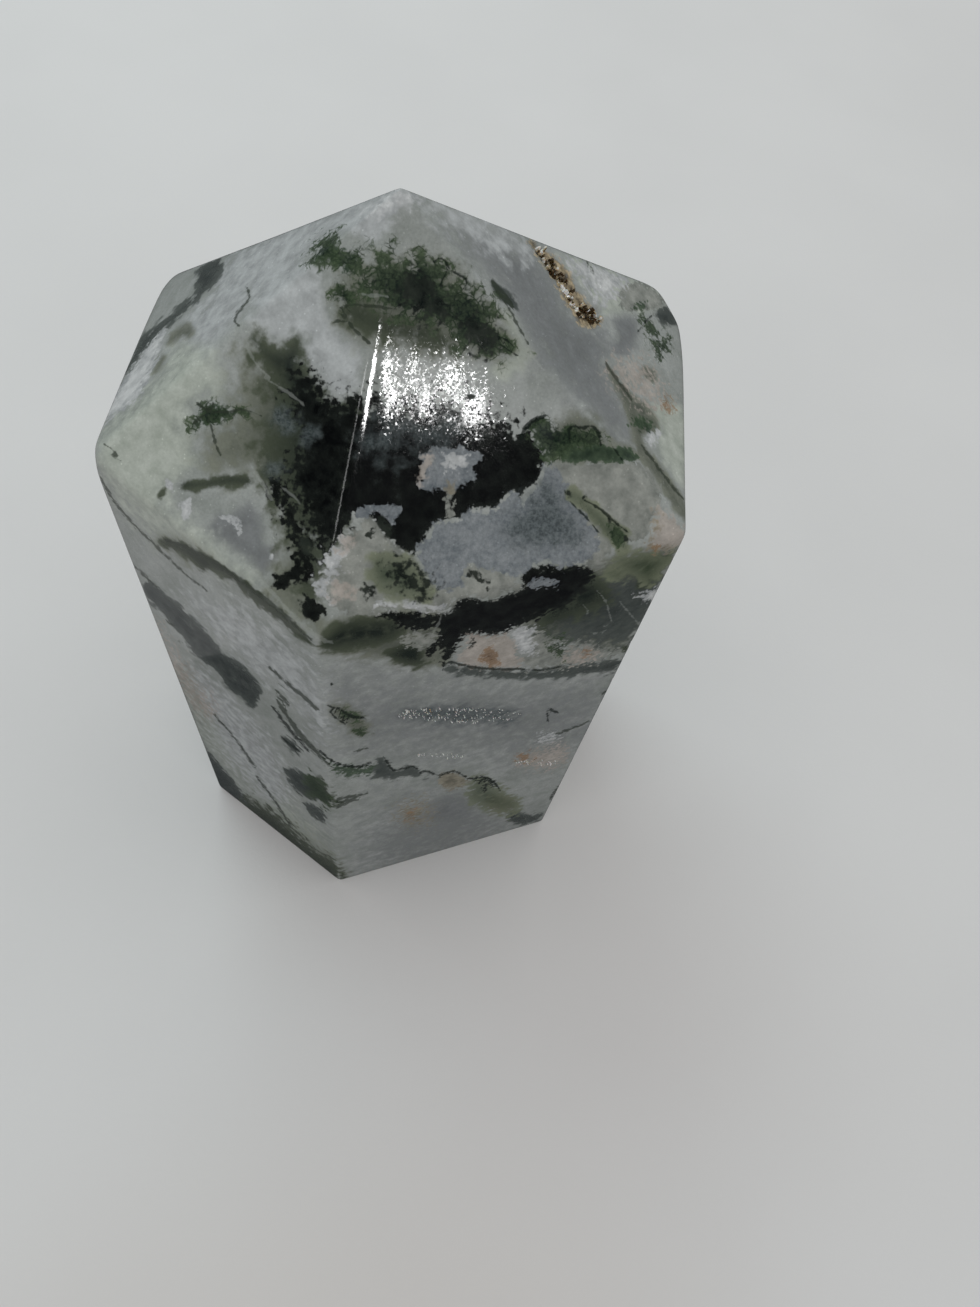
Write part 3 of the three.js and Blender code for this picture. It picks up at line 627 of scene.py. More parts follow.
STROKES["line_edge"] = (
    Stroke("upper strand on the side", [(320, 750, 0.6), (332, 762, 1.2), (346, 766, 1.2), (360, 767, 1.0),
        (372, 762, 0.8)]),
    Stroke("rim below the cream patch", [(442, 670, 0.8), (446, 661, 1.2), (456, 663, 1.4), (470, 667, 1.2),
        (490, 669, 1.4), (512, 669, 1.2), (530, 670, 1.0), (545, 670, 1.0), (560, 666, 0.9),
        (572, 664, 0.7)]),
    Stroke("black arc on the right of the black", [(521, 440, 1.6), (523, 431, 2.2), (529, 423, 2.4),
        (538, 418, 2.2), (547, 415, 1.0)]),
    Stroke("loop of the right cells", [(570, 441, 0.8), (568, 431, 1.4), (573, 425, 1.4), (582, 429, 1.2),
        (590, 425, 1.4), (597, 429, 1.6), (600, 438, 0.9), (601, 446, 0.6)]),
    Stroke("cell wall in the green band", [(612, 446, 0.7), (617, 453, 1.0), (623, 461, 0.8)]),
    Stroke("second strand on the left side", [(272, 706, 0.8), (281, 718, 1.6), (290, 730, 1.8),
        (300, 742, 1.2), (309, 752, 0.8)]),
    Stroke("third strand on the left side", [(280, 736, 0.7), (290, 744, 1.4), (300, 752, 1.0)]),
    Stroke("ring in the moss cloud", [(434, 262, 0.7), (440, 257, 0.9), (446, 261, 1.0), (448, 269, 1.1),
        (444, 277, 0.9), (440, 285, 0.7)]),
    Stroke("twig right of the moss cloud", [(449, 269, 0.8), (456, 274, 0.9), (464, 277, 1.0),
        (468, 282, 0.9), (463, 289, 0.7)]),
    Stroke("feather tip", [(499, 336, 0.9), (507, 340, 0.9), (514, 347, 0.7)]),
    Stroke("lower feather tip", [(500, 344, 0.8), (510, 351, 1.0), (518, 356, 0.8)]),
    Stroke("upper edge of the feather", [(584, 500, 0.8), (596, 506, 1.2), (606, 514, 1.5), (618, 525, 1.5),
        (628, 532, 0.8)]),
    Stroke("lower edge of the feather", [(570, 502, 0.6), (581, 512, 1.0), (591, 523, 0.8),
        (600, 534, 0.6)]),
    Stroke("crack of the worn corner shadow", [(638, 332, 0.6), (645, 322, 1.0), (651, 316, 0.8)]),
    Stroke("mark by the dark dot", [(548, 722, 0.6), (547, 714, 1.0), (548, 708, 1.4), (553, 711, 1.0),
        (559, 713, 0.6)]),
    Stroke("green stroke in the oval", [(328, 706, 0.6), (338, 708, 1.1), (348, 715, 1.5), (358, 718, 1.4),
        (366, 718, 0.8)]),
    Stroke("lower stroke in the oval", [(330, 712, 0.6), (337, 719, 1.2), (345, 724, 0.8)]),
    Stroke("roof of the dark strand", [(384, 757, 0.6), (388, 764, 1.4), (393, 771, 1.2), (402, 769, 1.0),
        (412, 765, 1.0), (418, 770, 0.6)]),
    Stroke("bumps right of the strand", [(418, 773, 0.6), (425, 771, 1.2), (432, 773, 1.0), (440, 776, 0.8),
        (446, 772, 1.0), (456, 772, 0.8)]),
    Stroke("roof of the green lens", [(466, 779, 0.8), (476, 778, 1.4), (486, 777, 1.4), (494, 782, 1.6),
        (500, 790, 0.8)]),
    Stroke("ring round the yellow lens", [(437, 779, 0.6), (445, 772, 1.0), (456, 771, 1.0),
        (465, 777, 0.9), (474, 781, 0.6)]),
)
STROKES["line_pale"] = (
    Stroke("white crack of the worn corner", [(612, 311, 0.7), (630, 313, 0.9), (648, 312, 0.9),
        (666, 304, 0.8)]),
    Stroke("line beyond the cleft", [(500, 305, 1.0), (514, 328, 0.8), (528, 352, 0.8), (544, 370, 0.6)]),
    Stroke("pale line in the olive body", [(246, 344, 0.8), (252, 358, 1.4), (260, 369, 1.2),
        (270, 378, 0.7)]),
    Stroke("second pale line in the olive body", [(264, 378, 0.6), (280, 387, 1.0), (293, 396, 1.2),
        (304, 405, 0.7)]),
    Stroke("pale streak over the triangle", [(250, 464, 0.8), (256, 474, 1.4), (264, 486, 1.8),
        (272, 500, 1.4)]),
    Stroke("pale streak in the dark facet", [(282, 488, 0.7), (292, 494, 1.0), (300, 504, 0.7)]),
    Stroke("white crack of the island", [(430, 458, 0.7), (437, 466, 1.1), (434, 476, 0.8)]),
    Stroke("line under the green band", [(576, 675, 0.6), (588, 674, 1.3), (602, 673, 0.6)]),
    Stroke("vein right of the rust", [(596, 655, 0.8), (608, 654, 1.0), (620, 653, 0.9), (630, 655, 0.7)]),
    Stroke("white bar in the moss cloud", [(362, 294, 1.2), (371, 296, 1.8), (380, 295, 1.4),
        (388, 297, 0.8)]),
    # Partly painted highlight: this pale line runs on the rounded shoulder edge where it catches the light,
    # and near the front corner it also covers a pale band of the facet.
    Stroke("strip above the left shoulder", [(214, 547, 1.0), (236, 560, 1.6), (254, 573, 1.8),
        (272, 592, 1.6), (290, 612, 1.6), (306, 628, 2.4), (322, 640, 2.2), (334, 643, 0.8)]),
    Stroke("fibre in the green grey", [(583, 605, 0.6), (590, 612, 0.9), (584, 618, 0.6)]),
    Stroke("second fibre in the green grey", [(596, 590, 0.5), (606, 600, 0.8), (610, 616, 0.8),
        (612, 622, 0.5)]),
    Stroke("third fibre in the green grey", [(620, 602, 0.5), (630, 614, 0.9), (640, 625, 0.6)]),
    Stroke("fourth fibre in the green grey", [(590, 632, 0.5), (600, 634, 0.9), (606, 629, 0.5)]),
    Stroke("tail of the white line", [(421, 603, 0.8), (424, 610, 1.2), (423, 618, 0.8)]),
    Stroke("edge of the wisp", [(442, 612, 0.6), (440, 622, 0.9), (432, 634, 0.9)]),
    Stroke("rim of the eye", [(642, 362, 0.6), (649, 360, 1.1), (655, 367, 1.2), (662, 364, 0.8)]),
    Stroke("lower rim of the eye", [(644, 378, 0.5), (649, 384, 1.0), (656, 386, 0.8)]),
)
STROKES["line_pit"] = (
    # Painted shade: the pit is drawn in the dark edge colour, standing for the shade in a hollow that the
    # mesh doesn't have; its grains also lean away from the lights.
    Stroke("pit in the highlight", [(469, 396, 2.4), (473, 397, 2.4)]),
)

# Minerals from the deepest layer to the uppermost. Reach is how far an edge wanders and crisp how wide it
# fades, both in blur widths. Strength is how much it hides, core how much it darkens away from its edge,
# and weave the pattern that frays it.
Mineral = namedtuple("Mineral", "name reach crisp strength core weave light dark")
MINERALS = (
    Mineral("lilac", 0.8, 1.7, 0.85, 0.1, "fray", (0.225, 0.24, 0.25), (0.145, 0.155, 0.162)),
    Mineral("sage", 0.8, 1.6, 0.85, -0.1, "fray", (0.54, 0.58, 0.53), (0.37, 0.41, 0.36)),
    Mineral("frost", 1.0, 1.3, 0.9, -0.2, "fray", (0.55, 0.58, 0.595), (0.36, 0.38, 0.39)),
    Mineral("haze", 0.9, 1.5, 0.85, 0.4, "fray", (0.20, 0.215, 0.17), (0.065, 0.075, 0.053)),
    Mineral("smoke", 1.0, 0.8, 0.97, 0.5, "fray", (0.10, 0.115, 0.108), (0.026, 0.034, 0.034)),
    Mineral("olive", 1.2, 1.1, 0.95, 0.7, "fray", (0.075, 0.09, 0.062), (0.008, 0.014, 0.011)),
    Mineral("ink", 1.3, 0.7, 0.99, 0.6, "tatter", (0.012, 0.015, 0.013), (0.001, 0.0014, 0.0016)),
    Mineral("plate", 1.4, 0.7, 0.95, -0.3, "tatter", (0.36, 0.375, 0.35), (0.18, 0.195, 0.18)),
    Mineral("grain", 1.4, 0.7, 0.95, -0.1, "tatter", (0.30, 0.325, 0.345), (0.122, 0.145, 0.165)),
    Mineral("slate", 0.9, 1.6, 0.8, 0.2, "fray", (0.12, 0.145, 0.152), (0.032, 0.043, 0.047)),
    Mineral("milk", 1.4, 0.7, 0.95, -0.5, "tatter", (0.68, 0.70, 0.71), (0.32, 0.34, 0.355)),
    Mineral("cream", 1.3, 1.0, 0.85, -0.2, "tatter", (0.52, 0.475, 0.44), (0.33, 0.305, 0.275)),
    Mineral("ochre", 1.3, 1.0, 0.8, 0.4, "tatter", (0.33, 0.30, 0.225), (0.12, 0.105, 0.07)),
    Mineral("stain", 1.3, 1.1, 0.87, 0.65, "fray", (0.20, 0.225, 0.155), (0.05, 0.07, 0.04)),
    Mineral("jade", 1.5, 0.9, 0.9, 0.4, "tatter", (0.07, 0.11, 0.065), (0.010, 0.026, 0.014)),
    Mineral("moss", 1.6, 0.9, 0.93, 0.6, "fibres", (0.075, 0.11, 0.06), (0.001, 0.008, 0.006)),
    Mineral("spot", 1.3, 0.9, 0.95, 0.3, "tatter", (0.030, 0.037, 0.03), (0.002, 0.005, 0.0045)),
    Mineral("gold", 0.8, 0.8, 0.95, 0.1, "tatter", (0.50, 0.41, 0.26), (0.05, 0.03, 0.011)),
    Mineral("rust", 1.5, 0.9, 0.85, 0.7, "fibres", (0.30, 0.20, 0.12), (0.04, 0.018, 0.009)),
)

# The largest depth in blur widths, how far in photo pixels a stroke and an outline reach past themselves,
# and the share of each step at which their corners are cut, and how often.
DEPTH_LIMIT = 6.0
STROKE_REACH = 4.5
PATCH_MARGIN = 60.0
CORNER_SHARE = 0.25
CORNER_ROUNDS = 2

# A field that swings round a middle value, from cosines of about one wavelength in millimetres.
Wander = namedtuple("Wander", "middle swing wavelength seed")
WAVES = 24
WAVE_LENGTHS = (0.6, 1.5)

# How the minerals go on behind the seen faces, in millimetres. Layers lie across this direction, and growths
# are squeezed along it, bent, and broken up by a finer field of their own.
LAYER_DIRECTION = np.array([0.69, -0.29, 0.67])
LAYER_WARP = Wander(0.0, 3.5, 30.0, 40)
LAYER_RIPPLE = Wander(0.0, 0.7, 7.0, 39)
LAYER_THICKNESS = Wander(0.5, 0.7, 17.0, None)
GROWTH_SQUEEZE = 2.4
GROWTH_BENDS = tuple(Wander(0.0, 1.8, 9.0, seed) for seed in (61, 62, 63))
FINER_SHARE = 0.4
FINER_BY = 4
FINER_SEED = 100
SEEN_FADE = 9.0
HIDDEN_START = 1.0
HIDDEN_FULL = 7.0
Growth = namedtuple("Growth", "mineral wavelength threshold blur seed")
HIDDEN_GROWTHS = (
    Growth("lilac", 42.0, 0.1, 0.5, 11),
    Growth("sage", 34.0, 0.4, 0.45, 12),
    Growth("frost", 38.0, 0.5, 0.4, 13),
    Growth("haze", 26.0, 1.0, 0.35, 14),
    Growth("ink", 40.0, 1.7, 0.22, 17),
    Growth("plate", 32.0, 1.9, 0.16, 24),
    Growth("grain", 34.0, 2.0, 0.16, 29),
    Growth("milk", 20.0, 2.3, 0.12, 33),
    Growth("cream", 22.0, 2.4, 0.2, 20),
    Growth("moss", 18.0, 1.8, 0.28, 23),
)
Layer = namedtuple("Layer", "mineral height thickness blur seed")
HIDDEN_LAYERS = (
    Layer("olive", -7.0, 1.6, 0.35, 41),
    Layer("smoke", 2.0, 1.3, 0.2, 42),
    Layer("haze", 11.0, 3.0, 0.6, 43),
    Layer("smoke", 19.0, 1.4, 0.2, 44),
    Layer("ink", 27.0, 1.2, 0.15, 45),
    Layer("olive", 33.0, 2.2, 0.3, 46),
    Layer("jade", 40.0, 1.0, 0.3, 47),
    Layer("smoke", 49.0, 1.5, 0.2, 48),
    Layer("haze", 58.0, 2.6, 0.6, 49),
)

# How a trough wanders in width and is lumpy on its floor, and how far from its middle it can press.
TROUGH_WIDTH = Wander(1.15, 0.3, 0.9, 31)
TROUGH_FLOOR = Wander(0.75, 0.3, 0.45, 32)
TROUGH_REACH = 9.0

# Noises of the stone: features per millimetre, detail, roughness and distortion. Moss threads are cell walls
# that a coarser noise sways, and stars are the middles of cells.
NOISES = {
    "cloud": (0.16, 4.0, 0.55, 0.5),
    "drift": (0.55, 5.0, 0.6, 0.8),
    "fray": (1.0, 3.5, 0.5, 0.0),
    "fine": (5.0, 3.0, 0.6, 0.0),
    "tatter": (2.2, 3.0, 0.5, 0.0),
    "sugar": (3.4, 3.0, 0.75, 0.0),
}
THREAD_SWAY = {"Scale": 0.9, "Detail": 3.0}
THREAD_SWAY_WIDTH = 1.6
THREADS_PER_MILLIMETRE = 1.9
THREAD_STEP = (0.0, 0.22, 1.0, -0.6)
STARS_PER_MILLIMETRE = 1.8
STAR_STEP = (0.16, 0.04)
CLOUD_STEP = (0.3, 0.7)
SUGAR_STEP = (0.32, 0.68)
FRAY_GAIN = 6.5
TATTER_MIDDLE = -3.55
TATTER_FINE = 0.6
FIBRE_FRAY = 5.5
FIBRE_THREADS = 0.45

# Swings between dark and light: a middle value, then weave patterns and their shares.
BODY_SWING = (0.0, (("Cloud", 0.6), ("Drift", 0.4), ("Fine", 0.25)))
PLAIN_SWING = (0.5, (("Fray", 0.35),))
SWINGS = {
    "grain": (0.33, (("Fray", 0.22), ("Sugar", 0.45))),
    "gold": (0.5, (("Tatter", 0.6),)),
    "moss": (0.25, (("Fray", 0.3), ("Fine", 0.9))),
    "slate": (0.0, (("Sugar", 1.0),)),
    "milk": (0.6, (("Fray", 0.25),)),
}
GLINT_SWING = (1.0, (("Fine", 0.35), ("Sparkle", 0.35)))
CORE_STEP = (0.0, 4.0, 0.5, -0.5)

# Strokes in the order that they are laid on, with the colour and strength of each kind.
Line = namedtuple("Line", "kind colour strength")
LINES = (
    Line("line_pale", "line_pale", 0.3),
    Line("line_dark", "line_dark", 0.8),
    Line("line_edge", "line_edge", 0.85),
    # The pit is drawn in the edge colour as painted shade.
    Line("line_pit", "line_edge", 0.85),
)
LINE_WOBBLE = 0.9
LINE_BLUR = 0.9

# Polish: grains that lean a little, each duller at its rim, and the constant values of each shader.
GRAINS_PER_MILLIMETRE = 7.5
GRAIN_RIM = (0.2, 0.8)
GRAIN_RIM_ROUGHNESS = 0.04
GRAIN_TILT = 0.5
PIT_TILT = (-0.15, -0.25, 0.0)
SEAM_ROUGHNESS = 0.55
QUARTZ_IOR = 1.54
STONE_SHADER = {
    "IOR": QUARTZ_IOR,
    "Subsurface Weight": 0.12,
    "Subsurface Radius": (1.0, 1.05, 1.0),
    "Subsurface Scale": 0.0006,
}
CRYSTAL_SHADER = {"Roughness": 0.16, "IOR": QUARTZ_IOR, "Subsurface Weight": 0.1, "Subsurface Scale": 0.0003}
FLOOR_SHADER = {"Roughness": 0.75, "Specular IOR Level": 0.0}

# Crystals of the troughs. Heights, foot, tip and radius are shares of a crystal's size, and the fill is how
# much of the trough's depth they stand in. The sharp edge is the softness that gives their way up.
CRYSTAL_SEED = 5
CRYSTAL_SIDES = 6
CRYSTAL_SIZES = (0.45, 1.25)
CRYSTAL_HEIGHTS = (0.9, 1.9)
CRYSTAL_LEAN = 0.55
CRYSTAL_FOOT = 0.3
CRYSTAL_TIP = 0.55
CRYSTAL_RADIUS = 0.5
TROUGH_FILL = 0.75
SHARP_EDGE = 0.05
STAIN_FRAY = 1.3
GOLD_STAIN = (0.0, 0.5)
BROWN_STAIN = (0.55, 0.95)
STONE_NAME = "polished_stone"
CRYSTALS_NAME = "seam_crystals"


def cutting_planes():
    """Normals and offsets of the flat cuts: the base, each side and its top facet in turn, the worn corners.

    A plane holds the points whose dot product with its normal is its offset. A side holds two neighbouring
    shoulder corners and stands upright, and a top facet holds the same two corners and the apex.
    """
    shoulder = np.column_stack([PLAN_CORNERS, SHOULDER_HEIGHTS])
    normals = [np.array([0.0, 0.0, -1.0])]
    points = [np.zeros(3)]
    for corner, following in zip(shoulder, np.roll(shoulder, -1, axis=0)):
        along = following - corner
        normals += [np.array([along[1], -along[0], 0.0]), np.cross(along, APEX - corner)]
        points += [corner, corner]
    for cut in CORNER_CUTS:
        facing, lean = np.radians([cut.facing, cut.lean])
        level = math.cos(lean)
        normal = np.array([level * math.cos(facing), level * math.sin(facing), math.sin(lean)])
        normals.append(normal)
        points.append(shoulder[cut.corner] - cut.depth * normal)
    normals = np.array(normals)
    normals /= np.linalg.norm(normals, axis=1, keepdims=True)
    offsets = (normals * np.array(points)).sum(axis=1)
    turned = np.where(normals @ HEART > offsets, -1.0, 1.0)
    return normals * turned[:, None], offsets * turned


NORMALS, OFFSETS = cutting_planes()


def height_above(points, softness):
    """Height of points above the stone: the largest height above any plane, h, blended at the edges as
    h + s log sum exp((h_i - h) / s), where s is the edge softness, less towards the tip. Also the outward
    direction there."""
    heights = points @ NORMALS.T - OFFSETS
    largest = heights.max(axis=1, keepdims=True)
    softness = softness * np.interp(points[:, 2:], TIP_HEIGHTS, (1, TIP_SHARPNESS))
    weights = np.exp((heights - largest) / softness)
    total = weights.sum(axis=1, keepdims=True)
    outward = (weights / total) @ NORMALS
    outward /= np.linalg.norm(outward, axis=1, keepdims=True)
    return (largest + softness * np.log(total))[:, 0], outward


def onto_surface(sharp, softness):
    """The surface points that the heart sees towards points of the sharp shape, found by halving the span."""
    inside, outside = (np.full(len(sharp), share) for share in SEARCH_SPAN)
    for _ in range(SEARCH_STEPS):
        middle = (inside + outside) / 2
        above = height_above(HEART + (sharp - HEART) * middle[:, None], softness)[0] > 0
        outside = np.where(above, middle, outside)
        inside = np.where(above, inside, middle)
    return HEART + (sharp - HEART) * middle[:, None]


def crowded_shares(length, even_steps):
    """Shares of a length from 0 to 1, in small steps at both ends and even ones between."""
    ends = EDGE_STEPS / length
    return np.concatenate([ends[:-1], np.linspace(ends[-1], 1 - ends[-1], even_steps), 1 - ends[-2::-1]])


def sharp_rings():
    """Rings of the sharp-edged shape as an array of ring, column and xyz: out over the base, up the sides
    and up the facets. A column keeps one place round the prism, a straight step between two corners."""
    shoulder = np.column_stack([PLAN_CORNERS, SHOULDER_HEIGHTS])
    stretches = []
    for corner, following, columns in zip(shoulder, np.roll(shoulder, -1, axis=0), COLUMNS):
        shares = crowded_shares(np.linalg.norm(following - corner), columns)[:-1]
        stretches.append(corner + shares[:, None] * (following - corner))
    ridge = np.concatenate(stretches)
    up = crowded_shares(SHOULDER_HEIGHTS.mean(), ROWS_UP_A_SIDE)
    climb = crowded_shares(np.linalg.norm(APEX - shoulder[0]), ROWS_UP_A_FACET)[1:-1]
    level = ridge * (1, 1, 0)
    base = level * ROWS_ON_THE_BASE[:, None, None]
    sides = level + (ridge - level) * up[:, None, None]
    facets = ridge + (APEX - ridge) * climb[:, None, None]
    return np.concatenate([base, sides, facets])


def net_faces(rings, columns):
    """Faces of a closed net of rings between a first and a last point: quads with a fan at each end."""
    ring, column = np.meshgrid(np.arange(rings - 1), np.arange(columns), indexing="ij")
    following = (column + 1) % columns
    quads = np.stack([
        1 + ring * columns + column,
        1 + ring * columns + following,
        1 + (ring + 1) * columns + following,
        1 + (ring + 1) * columns + column,
    ], axis=-1).reshape(-1, 4)
    place = np.arange(columns)
    beside = (place + 1) % columns
    first = np.stack([np.zeros_like(place), 1 + beside, 1 + place], axis=-1)
    start = 1 + (rings - 1) * columns
    last = np.stack([start + place, start + beside, np.full_like(place, 1 + rings * columns)], axis=-1)
    return quads, np.concatenate([first, last])


def cosine_field(points, wavelength, seed):
    """A smooth repeatable field of about unit spread: a sum of cosines in random directions."""
    draw = np.random.default_rng(seed)
    directions = draw.normal(size=(WAVES, 3))
    directions /= np.linalg.norm(directions, axis=1, keepdims=True)
    lengths = wavelength * draw.uniform(*WAVE_LENGTHS, WAVES)
    phases = draw.uniform(0, 2 * math.pi, WAVES)
    angles = points @ (directions * (2 * math.pi / lengths)[:, None]).T + phases
    return np.cos(angles).sum(axis=1) * math.sqrt(2 / WAVES)


def wandering(points, wander):
    """A cosine field that swings round a middle value."""
    return wander.middle + wander.swing * cosine_field(points, wander.wavelength, wander.seed)


def rounded(line, closed):
    """An outline or a stroke with its corners cut at a share of each step, a few rounds over."""
    line = np.array(line, dtype=float)
    for _ in range(CORNER_ROUNDS):
        start = line if closed else line[:-1]
        end = np.roll(line, -1, axis=0) if closed else line[1:]
        early = (1 - CORNER_SHARE) * start + CORNER_SHARE * end
        late = CORNER_SHARE * start + (1 - CORNER_SHARE) * end
        cut = np.stack([early, late], axis=1).reshape(-1, line.shape[1])
        line = cut if closed else np.concatenate([line[:1], cut, line[-1:]])
    return line


def near_line(line, points, margin):
    """Which points lie in the box round a line, with a margin, as their numbers."""
    inside = (points > line.min(axis=0) - margin) & (points < line.max(axis=0) + margin)
    return np.flatnonzero(inside.all(axis=1))


def nearest_on(line, closed, points):
    """For points and a line of straight steps: the nearest step, the share along it and the distance."""
    start = line if closed else line[:-1]
    end = np.roll(line, -1, axis=0) if closed else line[1:]
    step = end - start
    offset = points[:, None, :] - start
    share = np.clip((offset * step).sum(-1) / np.maximum((step * step).sum(-1), TINY), 0, 1)
    distance = np.linalg.norm(offset - share[..., None] * step, axis=-1)
    nearest = distance.argmin(axis=1)
    row = np.arange(len(points))
    return nearest, share[row, nearest], distance[row, nearest]


def inside_outline(line, points):
    """Whether points lie inside a closed outline, by the crossings of a level line to the right."""
    start, end = line, np.roll(line, -1, axis=0)
    above = points[:, None, 1] < start[:, 1]
    above_end = points[:, None, 1] < end[:, 1]
    rise = end[:, 1] - start[:, 1]
    rise = np.where(np.abs(rise) < TINY, TINY, rise)
    crossing = start[:, 0] + (points[:, None, 1] - start[:, 1]) / rise * (end[:, 0] - start[:, 0])
    return ((above != above_end) & (points[:, None, 0] < crossing)).sum(axis=1) % 2 == 1


def to_photo(points):
    """Photo pixels of points in millimetres, by the camera's own perspective."""
    offset = points - CAMERA_PLACE
    across = np.stack([offset @ RIGHT, offset @ DOWN], axis=1)
    return PHOTO_MIDDLE + PHOTO_FOCAL * across / (offset @ FORWARD)[:, None]


def depth_behind(points):
    """How far points lie behind the surface that the camera sees, along the line of sight."""
    sight = points - CAMERA_PLACE
    approach = sight @ NORMALS.T
    reach = OFFSETS - CAMERA_PLACE @ NORMALS.T
    share = np.where(approach < -TINY, reach / np.minimum(approach, -TINY), -np.inf).max(axis=1)
    return np.maximum(0, 1 - share) * np.linalg.norm(sight, axis=1)


def place_on_stone(pixel):
    """The point of the sharp shape that the camera sees at a photo pixel, in millimetres."""
    across = (np.array(pixel) - PHOTO_MIDDLE) / PHOTO_FOCAL
    ray = FORWARD + across[0] * RIGHT + across[1] * DOWN
    approach = NORMALS @ ray
    reach = OFFSETS - NORMALS @ CAMERA_PLACE
    return CAMERA_PLACE + ray * (reach[approach < 0] / approach[approach < 0]).max()


def traced_depths(pixels, behind):
    """How deep points lie inside the traced areas of each mineral, in blur widths and below zero outside.

    A point is measured in the photo against the outlines, which shrink with its depth behind the seen faces.
    """
    depths = {mineral.name: np.full(len(pixels), -DEPTH_LIMIT) for mineral in MINERALS}
    for mineral, patches in PATCHES.items():
        for patch in patches:
            line = rounded(patch.outline, closed=True)
            near = near_line(line, pixels, PATCH_MARGIN)
            distance = nearest_on(line, True, pixels[near])[2]
            signed = np.where(inside_outline(line, pixels[near]), distance, -distance)
            depth = np.clip((signed - SEEN_FADE * behind[near]) / patch.blur, -DEPTH_LIMIT, DEPTH_LIMIT)
            depths[mineral][near] = np.maximum(depths[mineral][near], depth)
    return depths


def grown_depths(points):
    """Pairs of a mineral and the depths of points in it, from random growths and warped layers."""
    height = points @ LAYER_DIRECTION
    squeezed = points + (GROWTH_SQUEEZE - 1) * height[:, None] * LAYER_DIRECTION
    squeezed += np.stack([wandering(points, bend) for bend in GROWTH_BENDS], axis=1)
    for growth in HIDDEN_GROWTHS:
        field = cosine_field(squeezed, growth.wavelength, growth.seed)
        field += FINER_SHARE * cosine_field(points, growth.wavelength / FINER_BY, growth.seed + FINER_SEED)
        yield growth.mineral, (field - growth.threshold) / growth.blur
    height = height + wandering(points, LAYER_WARP) + wandering(points, LAYER_RIPPLE)
    for layer in HIDDEN_LAYERS:
        half = layer.thickness * wandering(points, LAYER_THICKNESS._replace(seed=layer.seed))
        yield layer.mineral, (half - np.abs(height - layer.height)) / layer.blur


def mineral_depths(points):
    """How deep points lie inside each mineral: traced on the seen faces, and grown further in behind them."""
    behind = depth_behind(points)
    depths = traced_depths(to_photo(points), behind)
    hidden = np.clip((behind - HIDDEN_START) / (HIDDEN_FULL - HIDDEN_START), 0, 1)
    for mineral, depth in grown_depths(points):
        depth = np.clip(depth, -DEPTH_LIMIT, DEPTH_LIMIT) - (1 - hidden) * 2 * DEPTH_LIMIT
        depths[mineral] = np.maximum(depths[mineral], np.maximum(depth, -DEPTH_LIMIT))
    return depths


def stroke_distances(path, pixels):
    """For pixels near one stroke: the side of its centre line that they are on, as a sign, their distance
    to it, and its half width there, less what they lie past its ends and past STROKE_REACH."""
    line, widths = path[:, :2], path[:, 2]
    step, share, distance = nearest_on(line, False, pixels)
    run = line[step + 1] - line[step]
    offset = pixels - line[step]
    length = np.linalg.norm(run, axis=1)
    turn = run[:, 0] * offset[:, 1] - run[:, 1] * offset[:, 0]
    past_end = np.abs((offset * run).sum(axis=1) / np.maximum(length, TINY) - share * length)
    half = widths[step] * (1 - share) + widths[step + 1] * share
    return np.sign(turn), distance, half - past_end - np.maximum(0, distance - STROKE_REACH)


def stroke_fields(points):
    """For each kind of stroke: the signed distance of points to the nearest centre line and the half width
    there. The distance changes sign at the centre, so that it stays straight between vertices, and a mark
    shows where the half width exceeds its size."""
    pixels = to_photo(points)
    seen = depth_behind(points) < HIDDEN_START
    fields = {}
    for kind, strokes in STROKES.items():
        side = np.full(len(points), STROKE_REACH * 2)
        width = np.full(len(points), -STROKE_REACH)
        for stroke in strokes:
            path = rounded(stroke.path, closed=False)
            near = near_line(path[:, :2], pixels, 2 * STROKE_REACH)
            near = near[seen[near]]
            sign, distance, half = stroke_distances(path, pixels[near])
            nearer = distance < np.abs(side[near])
            side[near[nearer]] = (sign * distance)[nearer]
            width[near[nearer]] = half[nearer]
        fields[kind] = (side, np.maximum(width, -STROKE_REACH))
    return fields


def opened(points, outward, shape):
    """Surface points with the troughs and dents pressed in along the outward direction.

    A trough is a channel of depth d (1 - (r / w)^2) at distance r from its line, with a wandering width
    and a lumpy floor, and a dent is a round bowl of the same profile.
    """
    press = np.zeros(len(points))
    for trough in TROUGHS:
        path = rounded(np.column_stack([trough.path, trough.half_widths]), closed=False)
        near = np.flatnonzero((np.abs(points - path[:, :3].mean(axis=0)) < TROUGH_REACH).all(axis=1))
        step, share, distance = nearest_on(path[:, :3], False, points[near])
        width = path[step, 3] * (1 - share) + path[step + 1, 3] * share
        width = width * wandering(points[near], TROUGH_WIDTH)
        bowl = np.maximum(0, 1 - (distance / width) ** 2)
        depth = shape.trough_depth * trough.depth * bowl * wandering(points[near], TROUGH_FLOOR)
        press[near] = np.maximum(press[near], depth)
    for dent in DENTS:
        distance = np.linalg.norm(points - place_on_stone(dent.place), axis=1)
        bowl = np.maximum(0, 1 - (distance / dent.radius) ** 2)
        press = np.maximum(press, dent.depth * bowl)
    return points - outward * press[:, None]


def mesh_object(name, points, faces, material, smooth):
    """A mesh object from points in millimetres and arrays of faces, at the origin and unturned."""
    mesh = bpy.data.meshes.new(name)
    mesh.from_pydata((points * MM).tolist(), [], [face for block in faces for face in block.tolist()])
    mesh.polygons.foreach_set("use_smooth", np.full(len(mesh.polygons), smooth))
    mesh.materials.append(material)
    mesh.update()
    made = bpy.data.objects.new(name, mesh)
    bpy.context.scene.collection.objects.link(made)
    return made


def add_field(mesh, name, values):
    """Stores one number for each vertex under a name that the material reads."""
    field = mesh.attributes.new(name, "FLOAT", "POINT")
    field.data.foreach_set("value", values.astype(np.float32))


